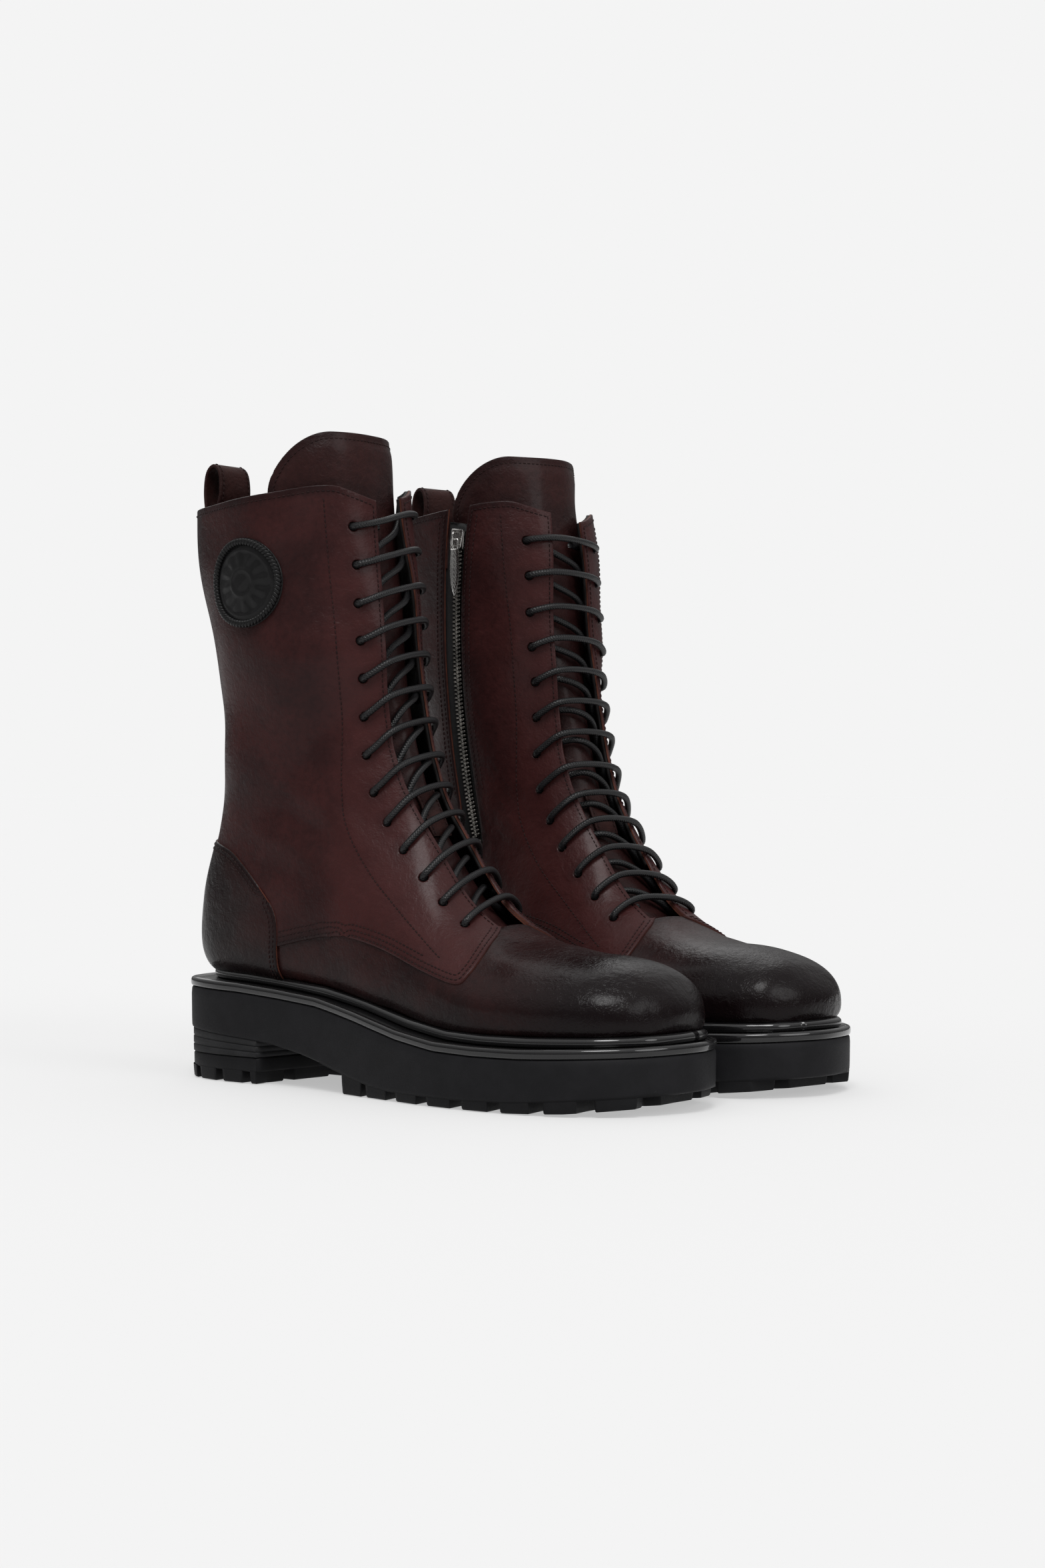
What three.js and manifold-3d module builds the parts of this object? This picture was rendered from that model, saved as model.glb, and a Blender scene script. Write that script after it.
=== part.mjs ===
// A pair of lace-up leather combat boots with an inside zip and a lugged sole.
// Millimetres, +Z up. The toes point to -Y and the wearer's right boot stands at -X.
// Each boot is modelled in its own frame: x = outward across the foot, y = forward
// from the back of the heel, z = up from the ground. bootGroup() turns that frame
// into the place of the right or the left boot.
import * as THREE from 'three';
import { mergeVertices } from 'three/addons/utils/BufferGeometryUtils.js';
import Module from 'manifold-3d';

const wasm = await Module();
wasm.setup();

// ---- overall sizes ----
const footLength = 304; // outsole, back of heel to toe
const ballWidth = 110; // outsole, across the ball of the foot
const collarHeight = 291; // ground to the collar at the back seam

// ---- thicknesses ----
const clearance = 0.3; // between pieces that touch on the real boot
const leather = 1.8;
const stiffening = 1.0; // toe puff and heel stiffener, between leather and lining
const lining = 1.2;
const boardThickness = 2.4;
const footbedThickness = 3.6;
const shankThickness = 1.5;
const shankHalfWidth = 8;
const weltThickness = 4.5;
const treadPlate = 3.0; // outsole under the forefoot, without its lugs
const topPiecePlate = 6.0; // heel top piece, without its lugs
const topPieceHeight = 13.0;
const lastingMargin = 24; // leather turned in under the foot, in from the edge of the sole
const weltWidth = 24; // most of it lies under the foot
const tongueThickness = 2.4;
const strapThickness = 1.8;

// ---- lacing ----
const eyeletRows = 13;
const laceDiameter = 3.2;
const eyeletDiameter = 6.6;
const facingHalfGap = 14.5; // half the width of the throat
const eyeletSetback = 9.5; // eyelet centre behind the edge of the facing
const topEyeletSetback = 17; // top eyelet below the end of the facing
const bottomEyeletSetback = 10; // bottom eyelet behind the front of the throat

// ---- zip ----
const zipHalfGap = 6.5; // half the width of the slot in the leather
const tapeHalfWidth = 9;
const tapeThickness = 0.8;
const tapeSag = 2.7; // the leather curves in over the flat tape by this much
const teethHalfWidth = 2.8;
const teethThickness = 2.2;
const sliderHalfWidth = 4.4;
const sliderLength = 11;
const sliderPlate = 1.4;
const sliderBridge = 1.0;
const pullLength = 31;
const pullHalfWidth = 3.8;
const pullThickness = 1.2;

// ---- straps and badge ----
const pullLoopWidth = 24;
const pullLoopRise = 27; // above the collar
const pullLoopOverlap = 26; // sewn length below the collar, outside
const keeperWidth = 11;
const keeperLength = 26;
const keeperBow = 5;
const tongueLoopWidth = 15;
const tongueLoopLength = 16;
const medallionDiameter = 46;
const medallionThickness = 1.2;

// ---- facets ----
// Degrees round a ring from the bottom or back; the edge at 160 runs along the facings.
const halfRing = [28, 54, 80, 106, 133, 160];
const ringAngles = [0, ...halfRing, 180, ...halfRing.map((angle) => 360 - angle).reverse()];
const roomAngles = Array.from({ length: 12 }, (unused, k) => 30 * k);
const ringRows = [0.4, 1.1, 2, 3, 4, 5, 6.2, 7.5, 8.7, 9.6, 10.5, 11.8, 13.4];
const laceSides = 4;
const eyeletSides = 5;
const outlineSides = 28;
const marginSides = 14;

// ---- the pair ----
const strideForward = -21; // left boot ahead of the right one, along Y
const leftToeIn = -0.21; // radians, about Z
const pairGap = 2.471; // between the boots where they come closest
const closestPlace = 0.75; // of the foot's length from the heel, where that is

// The outlines below are drawn for a boot of these sizes and follow the driving sizes.
const drawn = { length: 304, width: 110, innerBall: 50, collar: 291, ankle: 118 };
const fitU = (u) => (u * footLength) / drawn.length;
const fitV = (v) => (v * ballWidth) / drawn.width;
const fitZ = (z) => z <= drawn.ankle ? z
  : drawn.ankle + ((z - drawn.ankle) * (collarHeight - drawn.ankle)) / (drawn.collar - drawn.ankle);

// Heel to heel: the left boot's toe turns in, so a longer or wider boot stands further off.
const toeReach = closestPlace * footLength * Math.sin(-leftToeIn);
const strideAcross = 2 * fitV(drawn.innerBall) + toeReach + pairGap;

// Rings of the upper from the toe to the collar: bottom (or back) point u, z; top (or
// front) point u, z; outer and inner half widths; height share of the widest place;
// squareness of the bottom.
const rings = [
  [296, 42, 297, 46, 2, 2, 0.5, 2],
  [293, 34, 290, 60, 24, 22, 0.42, 2.4],
  [284, 33, 279, 67, 36, 32, 0.36, 2.7],
  [268, 31.5, 262, 71, 45, 39, 0.33, 3],
  [240, 30.5, 234, 73, 51, 43, 0.32, 3.2],
  [205, 30.5, 204, 80, 52, 44, 0.31, 3.2],
  [168, 34, 180, 97, 47, 41, 0.32, 3],
  [125, 43, 163, 122, 41, 37, 0.34, 3],
  [75, 49.5, 149, 148, 38, 36, 0.36, 3],
  [30, 51.8, 142, 169, 37, 36, 0.4, 2.8],
  [10, 60, 138, 186, 37, 36.5, 0.44, 2.5],
  [5, 84, 134, 200, 37, 37, 0.5, 2.3],
  [16, 118, 131, 215, 39, 38.5, 0.5, 2.2],
  [24, 155, 128, 231, 42, 40.5, 0.5, 2.2],
  [19, 200, 125, 253, 45, 43, 0.5, 2.2],
  [11, 246, 122, 279, 47, 45.5, 0.5, 2.2],
  [6, 293, 118, 312, 49, 48, 0.5, 2.2],
].map(([bu, bz, tu, tz, wl, wm, belly, square]) => [
  fitU(bu), fitZ(bz), fitU(tu), fitZ(tz), fitV(wl), fitV(wm), belly, square,
]);
const collarStation = rings.length - 1;
const topSquareness = 2.15;

// Sole outline: u, outer half width, inner half width.
const soleWidths = [
  [0, 0, 0], [4, 20, 19], [14, 32, 30], [35, 38.5, 37], [70, 40, 39], [110, 43, 38], [150, 51, 41],
  [190, 58.5, 47], [225, 60, 50], [255, 56, 48], [280, 44, 40], [296, 26, 25], [304, 0, 0],
];

// Side profiles of the sole, as u, z.
const weltTop = [
  [-20, 51.6], [18, 51.6], [50, 50.5], [78, 48.5], [105, 46], [135, 40.5], [165, 34.2], [192, 30.6],
  [216, 29.8], [240, 29.8], [288, 31.4], [330, 33.5],
];
const treadTop = [
  [-20, 28], [72, 21.5], [93, 18], [105, 15.2], [114, 12.8], [130, 9], [146, 6.2], [161, 4.8],
  [204, 4.6], [235, 5.4], [288, 9], [330, 12],
];
const groundLine = [[-20, 0], [235, 0], [262, 1], [288, 3.4], [330, 8.5]];

// Edges of the leather panels in side view, as u, z.
const quarterFront = [
  [189, 150], [189, 100], [192, 88], [201, 79], [204.5, 70], [203.5, 62], [198, 57], [176, 62],
  [146, 71.5], [120, 76], [98, 74], [70, 68],
];
const counterEdge = [
  [-12, 124], [16, 123], [40, 118], [53, 110], [66, 98.5], [74.5, 88], [76.8, 78], [76, 66], [75, 50],
  [75, 20],
];
const collarLine = [[-30, 291], [6, 291], [40, 291.5], [80, 295], [104, 298], [113, 296], [128, 285]];
const medialCollarRise = 3;
const backSeam = [[80, 84], [82, 60]]; // inner seam below the zip
const zipLine = { top: [81.5, 287], bottom: [85, 118], bow: 7.5 };
const throatFloor = [[196, 64], [160, 88], [122, 118], [100, 160], [92, 330]];
const vampLiningEdge = [[96, 10], [104, 60], [140, 84], [190, 100], [190, 150]];
const tongueEdge = [[204, 60], [150, 96], [104, 150], [86, 240], [68, 300], [62, 360]];
const tongueTop = 326;
const tongueHalfWidth = 25; // over the instep; it widens to the collar
const tongueTopHalfWidth = 40; // it wraps round the front half of the collar
const tongueTopRound = 20;
const medallionCentre = [64, 251];
const heelBreast = { outer: 64, inner: 76 };

// ---------- curves ----------
const lerp = THREE.MathUtils.lerp;

/** Catmull-Rom value of a table at a fractional row, straight on beyond its last row. */
function tableRow(table, row) {
  const last = table.length - 1;
  if (row > last) {
    const end = table[last];
    const before = table[last - 1];
    return end.map((value, k) => value + (value - before[k]) * (row - last));
  }
  const i = Math.min(Math.floor(row), last - 1);
  const f = row - i;
  const [a, b, c, d] = [i - 1, i, i + 1, i + 2].map((k) => table[THREE.MathUtils.clamp(k, 0, last)]);
  return b.map((value, k) => 0.5 * (2 * value + (c[k] - a[k]) * f
    + (2 * a[k] - 5 * value + 4 * c[k] - d[k]) * f * f
    + (3 * value - a[k] - 3 * c[k] + d[k]) * f ** 3));
}

/** Smooth line through drawn u, z points, in the boot's own sizes. */
function sideLine(points, steps = points.length + 1) {
  const fitted = points.map(([u, z]) => new THREE.Vector2(fitU(u), fitZ(z)));
  return new THREE.SplineCurve(fitted).getPoints(steps);
}

/** Height of a side profile at a place along the foot. */
function profileAt(profile, u) {
  const points = profile.map(([pu, pz]) => [fitU(pu), fitZ(pz)]);
  const i = points.findIndex(([pu]) => pu > u);
  const [a, b] = [points[i - 1], points[i]];
  return lerp(a[1], b[1], (u - a[0]) / (b[0] - a[0]));
}

/** The same line moved sideways; positive is to its left. */
function shifted(points, distance) {
  return points.map((point, i) => {
    const before = points[Math.max(i - 1, 0)];
    const after = points[Math.min(i + 1, points.length - 1)];
    const along = after.clone().sub(before).normalize();
    return new THREE.Vector2(point.x - along.y * distance, point.y + along.x * distance);
  });
}

/** Closed plan outline of the sole, moved in by inset. */
function soleOutline(inset, sides = outlineSides) {
  const outer = soleWidths.map(([u, w]) => new THREE.Vector3(fitV(w), fitU(u), 0));
  const inner = soleWidths.slice(1, -1).reverse().map(([u, , w]) => new THREE.Vector3(-fitV(w), fitU(u), 0));
  const curve = new THREE.CatmullRomCurve3([...outer, ...inner], true, 'catmullrom', 0.5);
  const points = curve.getSpacedPoints(sides).slice(0, -1);
  return points.map((point, i) => {
    const before = points[(i + points.length - 1) % points.length];
    const after = points[(i + 1) % points.length];
    const along = after.clone().sub(before).normalize();
    return new THREE.Vector2(point.x - along.y * inset, point.y + along.x * inset);
  });
}

// ---------- the surface of the upper ----------

/** Point of the upper at a station and an angle: 0 bottom or back, pi top or front. */
function upperPoint(station, angle) {
  const [bu, bz, tu, tz, wl, wm, belly, square] = tableRow(rings, station);
  const sine = Math.sin(angle);
  const cosine = Math.cos(angle);
  const power = 2 / (cosine > 0 ? square : topSquareness);
  const across = Math.sign(sine) * Math.abs(sine) ** power;
  const evenShare = (1 - Math.sign(cosine) * Math.abs(cosine) ** power) / 2;
  const share = evenShare ** (Math.log(belly) / Math.log(0.5));
  const width = across > 0 ? wl : wm;
  return new THREE.Vector3(width * across, lerp(bu, tu, share), lerp(bz, tz, share));
}

/** Outward normal of the upper. */
function upperNormal(station, angle) {
  const step = 0.02;
  const low = Math.max(station - step, 0.05);
  const alongRing = upperPoint(station, angle + step).sub(upperPoint(station, angle - step));
  const alongFoot = upperPoint(station + step, angle).sub(upperPoint(low, angle));
  return alongRing.cross(alongFoot).normalize();
}

/** Point of the upper, raised along its normal. */
function raised(station, angle, height) {
  return upperPoint(station, angle).addScaledVector(upperNormal(station, angle), height);
}

/** Angle on the front half of a ring where the surface is v across. */
function frontAngle(station, v) {
  const row = tableRow(rings, station);
  const width = v > 0 ? row[4] : row[5];
  return Math.PI - Math.asin(Math.sign(v) * Math.min(Math.abs(v / width), 1) ** (topSquareness / 2));
}

/** Point on the facets of the upper, raised by height. */
function facetPoint(station, angle, height) {
  const above = ringRows.findIndex((row) => row > station);
  const [low, high] = above < 0 ? [ringRows[ringRows.length - 1], collarStation]
    : [ringRows[above - 1], ringRows[above]];
  const columns = [...ringAngles, 360].map((degrees) => THREE.MathUtils.degToRad(degrees));
  const next = columns.findIndex((column) => column > angle);
  const [from, to] = [columns[next - 1], columns[next]];
  const g = (angle - from) / (to - from);
  const f = (station - low) / (high - low);
  const [near, far] = f + g < 1 ? [[low, from], [high, to]] : [[high, to], [low, from]];
  const corner = raised(...near, height);
  const sides = [raised(near[0], far[1], height), raised(far[0], near[1], height)];
  const [shareAcross, shareAlong] = f + g < 1 ? [g, f] : [1 - g, 1 - f];
  return corner.clone().addScaledVector(sides[0].sub(corner), shareAcross)
    .addScaledVector(sides[1].sub(corner), shareAlong);
}

/** Point over the front of the upper by its place across. */
function frontPoint(station, v, height) {
  return facetPoint(station, frontAngle(station, v), height);
}

// ---------- solids ----------

/** Solid of a closed geometry. */
function solidOf(geometry) {
  const bare = new THREE.BufferGeometry();
  bare.setAttribute('position', geometry.getAttribute('position'));
  if (geometry.index) bare.setIndex(geometry.index);
  const merged = mergeVertices(bare, 1e-4);
  const vertProperties = new Float32Array(merged.getAttribute('position').array);
  const triVerts = new Uint32Array(merged.index.array);
  return new wasm.Manifold(new wasm.Mesh({ numProp: 3, vertProperties, triVerts }));
}

const minus = (solid, ...tools) => tools.reduce((rest, tool) => rest.subtract(tool), solid);
const common = (solid, ...tools) => tools.reduce((rest, tool) => rest.intersect(tool), solid);
const joined = (solid, ...more) => more.reduce((rest, next) => rest.add(next), solid);

/** Prism of a side view outline between two places across. */
function sidePrism(points, from, to) {
  const geometry = new THREE.ExtrudeGeometry(new THREE.Shape(points), {
    depth: to - from, bevelEnabled: false,
  });
  geometry.translate(0, 0, from);
  const axes = new THREE.Matrix4().makeBasis(
    new THREE.Vector3(0, 1, 0), new THREE.Vector3(0, 0, 1), new THREE.Vector3(1, 0, 0));
  return solidOf(geometry.applyMatrix4(axes));
}

/** Prism of a plan outline between two heights. */
function planPrism(points, from, to) {
  const geometry = new THREE.ExtrudeGeometry(new THREE.Shape(points), {
    depth: to - from, bevelEnabled: false,
  });
  return solidOf(geometry.translate(0, 0, from));
}

/** Closed solid through rings of points, its ends closed at two points. */
function loftSolid(loops, firstEnd, lastEnd) {
  const sides = loops[0].length;
  const points = [...loops.flat(), firstEnd, lastEnd];
  const first = points.length - 2;
  const last = points.length - 1;
  const index = [];
  for (let j = 0; j < sides; j += 1) {
    const k = (j + 1) % sides;
    for (let i = 0; i + 1 < loops.length; i += 1) {
      const [a, b, c, d] = [i * sides + j, i * sides + k, (i + 1) * sides + k, (i + 1) * sides + j];
      index.push(a, d, b, b, d, c);
    }
    const end = (loops.length - 1) * sides;
    index.push(first, j, k, last, end + k, end + j);
  }
  const volume = index.reduce((sum, unused, n) => (n % 3 ? sum
    : sum + points[index[n]].dot(points[index[n + 1]].clone().cross(points[index[n + 2]]))), 0);
  const geometry = new THREE.BufferGeometry().setFromPoints(points);
  geometry.setIndex(volume > 0 ? index : index.reverse());
  return solidOf(geometry);
}

const middleOf = (loop) => loop.reduce((sum, p) => sum.add(p), new THREE.Vector3()).divideScalar(loop.length);
const wide = 200; // beyond the boot on every side

/** The foot and leg form, grown by height and reaching a little over the collar if asked. */
function form(height, over = 0, angles = ringAngles) {
  const rows = [...ringRows, collarStation + over];
  const loops = rows.map((station) => angles.map((angle) =>
    raised(station, THREE.MathUtils.degToRad(angle), height)));
  const [bu, bz, tu, tz] = rings[0];
  const tip = new THREE.Vector3(0, Math.max(bu, tu) + 0.8 + height, (bz + tz) / 2);
  return loftSolid(loops, tip, middleOf(loops[loops.length - 1]));
}

/** A skin of the form between two depths, open at the collar. */
function skin(outerDepth, innerDepth) {
  return minus(form(-outerDepth), form(-innerDepth, 0.4));
}

// ---------- cutters ----------

/** Everything between two places across. */
function slice(from, to) {
  return planPrism([
    new THREE.Vector2(from, -wide), new THREE.Vector2(to, -wide),
    new THREE.Vector2(to, wide * 3), new THREE.Vector2(from, wide * 3),
  ], -wide, wide * 3);
}

function aboveCollar(rise) {
  const line = sideLine(collarLine.map(([u, z]) => [u, z + rise]));
  return [...line, new THREE.Vector2(wide * 2, fitZ(250)), new THREE.Vector2(wide * 2, wide * 3),
    new THREE.Vector2(-wide, wide * 3)];
}

const collarCut = joined(
  sidePrism(aboveCollar(0), 0, wide), sidePrism(aboveCollar(medialCollarRise), -wide, 0));

/** Everything behind and under the edge of the heel counter. */
function counterZone(grow) {
  const line = shifted(sideLine(counterEdge), grow);
  const corners = [new THREE.Vector2(-wide, -wide), new THREE.Vector2(-wide, line[0].y)];
  return sidePrism([...line, ...corners], -wide, wide);
}

/** Everything in front of and under the quarters' lower edge. */
function vampZone(grow) {
  const line = shifted(sideLine(quarterFront), -grow);
  const low = new THREE.Vector2(line[line.length - 1].x, -wide);
  return sidePrism([...line, low, new THREE.Vector2(wide * 2, -wide), new THREE.Vector2(wide * 2, line[0].y)],
    -wide, wide);
}

function throatCut(halfWidth) {
  const line = sideLine(throatFloor);
  const end = line[line.length - 1];
  return sidePrism([...line, new THREE.Vector2(wide * 2, end.y), new THREE.Vector2(wide * 2, fitZ(95)),
    new THREE.Vector2(fitU(197), fitZ(95))], -halfWidth, halfWidth);
}

/** Hole inside the turned-in margin under the foot. */
function marginHole(inset) {
  const line = [
    [-20, 10], [-20, 62], [50, 60], [90, 56], [130, 50], [165, 44], [200, 40], [330, 42],
    [330, 10],
  ];
  return common(planPrism(soleOutline(inset, marginSides), 0, 80),
    sidePrism(line.map(([u, z]) => new THREE.Vector2(fitU(u), z)), -wide, wide));
}

// ---------- zip track ----------

/** Station and angle on the inner side of the upper at a side view place. */
function innerSide(u, z) {
  let station = 12;
  let angle = 1.5 * Math.PI;
  for (let turn = 0; turn < 40; turn += 1) {
    const here = upperPoint(station, angle);
    const step = 1e-3;
    const ds = upperPoint(station + step, angle).sub(here).divideScalar(step);
    const da = upperPoint(station, angle + step).sub(here).divideScalar(step);
    const du = u - here.y;
    const dz = z - here.z;
    const det = ds.y * da.z - ds.z * da.y;
    station += THREE.MathUtils.clamp((du * da.z - dz * da.y) / det, -0.5, 0.5);
    angle += THREE.MathUtils.clamp((ds.y * dz - ds.z * du) / det, -0.2, 0.2);
  }
  return [station, angle];
}

// The zip runs on a true circular arc in a flat plane that leans as the leather does, so
// that its slider turns about one fixed axis.
const zip = (() => {
  const ends = [zipLine.top, zipLine.bottom].map(([u, z]) => innerSide(fitU(u), fitZ(z)));
  const [top, bottom] = ends.map((place) => upperPoint(...place));
  const [outTop, outBottom] = ends.map((place) => upperNormal(...place));
  const chord = bottom.clone().sub(top);
  const along = chord.clone().normalize();
  const lean = outTop.clone().add(outBottom);
  const axis = lean.addScaledVector(along, -lean.dot(along)).normalize();
  const toBack = axis.clone().cross(along);
  if (toBack.y > 0) toBack.negate();
  const radius = (chord.lengthSq() / 4 + zipLine.bow ** 2) / (2 * zipLine.bow);
  const centre = top.clone().add(bottom).divideScalar(2).addScaledVector(toBack, zipLine.bow - radius);
  const start = top.clone().sub(centre).normalize();
  const side = axis.clone().cross(start);
  const toBottom = bottom.clone().sub(centre).normalize();
  const sweep = Math.atan2(toBottom.dot(side), toBottom.dot(start));
  return { axis, centre, radius, start, side, sweep };
})();

/** Place on the zip: length down from its top, out from the arc's middle line, up off it. */
function zipPoint(down, out, up) {
  const angle = Math.sign(zip.sweep) * (down / zip.radius);
  const radial = zip.start.clone().multiplyScalar(Math.cos(angle)).addScaledVector(zip.side, Math.sin(angle));
  return zip.centre.clone().addScaledVector(radial, zip.radius + out).addScaledVector(zip.axis, up);
}
const zipLength = Math.abs(zip.sweep) * zip.radius;

/** Bar bent along the zip with a rectangular section between two widths and two heights. */
function zipBar(fromDown, toDown, [left, right], [low, high], steps = 1) {
  const loops = Array.from({ length: steps + 1 }, (unused, i) => {
    const down = lerp(fromDown, toDown, i / steps);
    return [[left, low], [right, low], [right, high], [left, high]]
      .map(([out, up]) => zipPoint(down, out, up));
  });
  return loftSolid(loops, middleOf(loops[0]), middleOf(loops[steps]));
}

// Heights off the arc, which lies in the surface of the leather.
const tapeTop = -(leather + tapeSag + clearance);
const teethLow = tapeTop + clearance;
const teethTop = teethLow + teethThickness;
const sliderLow = teethTop + clearance;
const sliderTop = sliderLow + sliderPlate;
const pinHalf = pullThickness / 2; // the pull's cross bar is square
const pinUp = sliderTop + 2 * clearance + pinHalf * Math.SQRT2;
const bridgeLow = pinUp + pinHalf * Math.SQRT2 + 1.5 * clearance;

/** Slot along the zip, as a side view outline, widened from the arc by halfWidth. */
function zipSlot(halfWidth, beyond = 2) {
  const steps = 10;
  const downs = Array.from({ length: steps + 1 }, (unused, i) => lerp(-14, zipLength + beyond, i / steps));
  const edge = (out) => downs.map((down) => zipPoint(down, out, 0)).map((p) => new THREE.Vector2(p.y, p.z));
  return sidePrism([...edge(-halfWidth), ...edge(halfWidth).reverse()], -wide, 0);
}

/** Everything on the inner side behind the zip and the seam below it. */
function behindZip(grow) {
  const steps = 8;
  const arc = Array.from({ length: steps + 1 }, (unused, i) =>
    zipPoint(lerp(-14, zipLength, i / steps), 0, 0));
  const line = [...arc.map((p) => new THREE.Vector2(p.y, p.z)), ...sideLine(backSeam, 2)];
  const moved = shifted(line, grow);
  return sidePrism([...moved, new THREE.Vector2(moved[moved.length - 1].x, -wide),
    new THREE.Vector2(-wide, -wide), new THREE.Vector2(-wide, wide * 2),
    new THREE.Vector2(moved[0].x, wide * 2)], -wide, 0);
}

// ---------- lacing ----------

const eyeletV = facingHalfGap + eyeletSetback;

/** Stations of the rows of eyelets, from the collar down, moved up by lift. */
function eyeletStations(lift) {
  const steps = 240;
  const top = collarStation;
  const bottom = 4.6;
  const line = Array.from({ length: steps + 1 }, (unused, i) => {
    const station = lerp(top, bottom, i / steps);
    return { station, point: frontPoint(station, eyeletV, 0) };
  });
  const start = line.findIndex(({ point }) => point.z < fitZ(294));
  const end = line.findIndex(({ point }) => point.y > fitU(197));
  let length = 0;
  const marks = line.slice(start, end).map(({ station, point }, i, all) => {
    if (i) length += point.distanceTo(all[i - 1].point);
    return { station, length };
  });
  const pitch = (length - topEyeletSetback - bottomEyeletSetback) / (eyeletRows - 1);
  return Array.from({ length: eyeletRows }, (unused, row) => {
    const wanted = topEyeletSetback + row * pitch - lift;
    return marks.find((mark) => mark.length >= wanted).station;
  });
}

/** Straight rod through the facing at an eyelet. */
function eyeletRod(station, v) {
  const out = upperNormal(station, frontAngle(station, v));
  const radius = eyeletDiameter / 2;
  const geometry = new THREE.CylinderGeometry(radius, radius, leather * 6, eyeletSides);
  const turn = new THREE.Quaternion().setFromUnitVectors(new THREE.Vector3(0, 1, 0), out);
  geometry.applyQuaternion(turn);
  const place = frontPoint(station, v, -leather / 2);
  return solidOf(geometry.translate(place.x, place.y, place.z));
}

/** A curve whose parameter runs evenly from point to point. */
class LaceRoute extends THREE.CatmullRomCurve3 {
  getUtoTmapping(u) {
    return u;
  }
}

const laceOver = laceDiameter / 2 + 4 * clearance;
const laceUnder = -(leather + 2.5 * clearance + laceDiameter / 2);

/** Route of the lace: straight bars over the throat, slanting runs under it. */
function laceRoute(outerStations, innerStations) {
  const bend = 2.8; // the lace turns this far back from the eyelet
  const points = [];
  const turn = (station, side, up) => {
    const heights = [laceUnder, laceUnder + 1.1, laceOver - 1.1, laceOver];
    const places = [eyeletV - bend, eyeletV, eyeletV, eyeletV - bend];
    const order = up ? [0, 1, 2, 3] : [3, 2, 1, 0];
    order.forEach((k) => points.push(frontPoint(station, side * places[k], heights[k])));
  };
  outerStations.forEach((outer, row) => {
    const inner = innerStations[row];
    if (row === 0) points.push(frontPoint(outer, 6, laceUnder - 1));
    turn(outer, 1, true);
    points.push(frontPoint(lerp(outer, inner, 0.2), facingHalfGap - 1, laceOver + 0.2));
    points.push(frontPoint(lerp(outer, inner, 0.8), -facingHalfGap + 1, laceOver + 0.2));
    turn(inner, -1, false);
    const next = outerStations[row + 1];
    if (next === undefined) {
      points.push(frontPoint(inner, -8, laceUnder));
    } else {
      points.push(frontPoint(lerp(inner, next, 0.35), -8, laceUnder));
      points.push(frontPoint(lerp(inner, next, 0.65), 8, laceUnder));
    }
  });
  return points;
}

function laceSolid(points) {
  const section = new THREE.Shape(Array.from({ length: laceSides }, (unused, k) => {
    const angle = (k / laceSides) * 2 * Math.PI;
    return new THREE.Vector2(Math.cos(angle), Math.sin(angle)).multiplyScalar(laceDiameter / 2);
  }));
  return solidOf(new THREE.ExtrudeGeometry(section, {
    steps: points.length - 1, extrudePath: new LaceRoute(points, false, 'centripetal'),
  }));
}

// ---------- pieces of one boot ----------

/** Side profile between two places along the foot, raised by rise. */
function profileLine(profile, from, to, rise = 0) {
  const points = profile.map(([u, z]) => new THREE.Vector2(fitU(u), fitZ(z)));
  const inside = points.filter((point) => point.x > from + 0.5 && point.x < to - 0.5);
  const ends = [from, to].map((u) => new THREE.Vector2(u, profileAt(profile, u)));
  return [ends[0], ...inside, ends[1]].map((point) => new THREE.Vector2(point.x, point.y + rise));
}

/** Slab of the sole inside the plan outline, between a lower and an upper side line. */
function soleSlab(inset, lower, upper) {
  return common(planPrism(soleOutline(inset), -1, 100), sidePrism([...lower, ...upper.slice().reverse()],
    -wide, wide));
}

const heelFront = fitU(heelBreast.inner);

/** Everything in front of the heel's slanting breast. */
function frontOfHeel() {
  const edge = fitV(45);
  return planPrism([
    new THREE.Vector2(edge, fitU(heelBreast.outer)), new THREE.Vector2(edge, wide * 2),
    new THREE.Vector2(-edge, wide * 2), new THREE.Vector2(-edge, fitU(heelBreast.inner)),
  ], -10, 80);
}

/** Lug block in plan. */
function lug(v0, v1, u0, u1, slant, low, high) {
  return planPrism([
    new THREE.Vector2(v0, u0), new THREE.Vector2(v1, u0 + slant),
    new THREE.Vector2(v1, u1 + slant), new THREE.Vector2(v0, u1),
  ], low, high);
}

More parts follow.
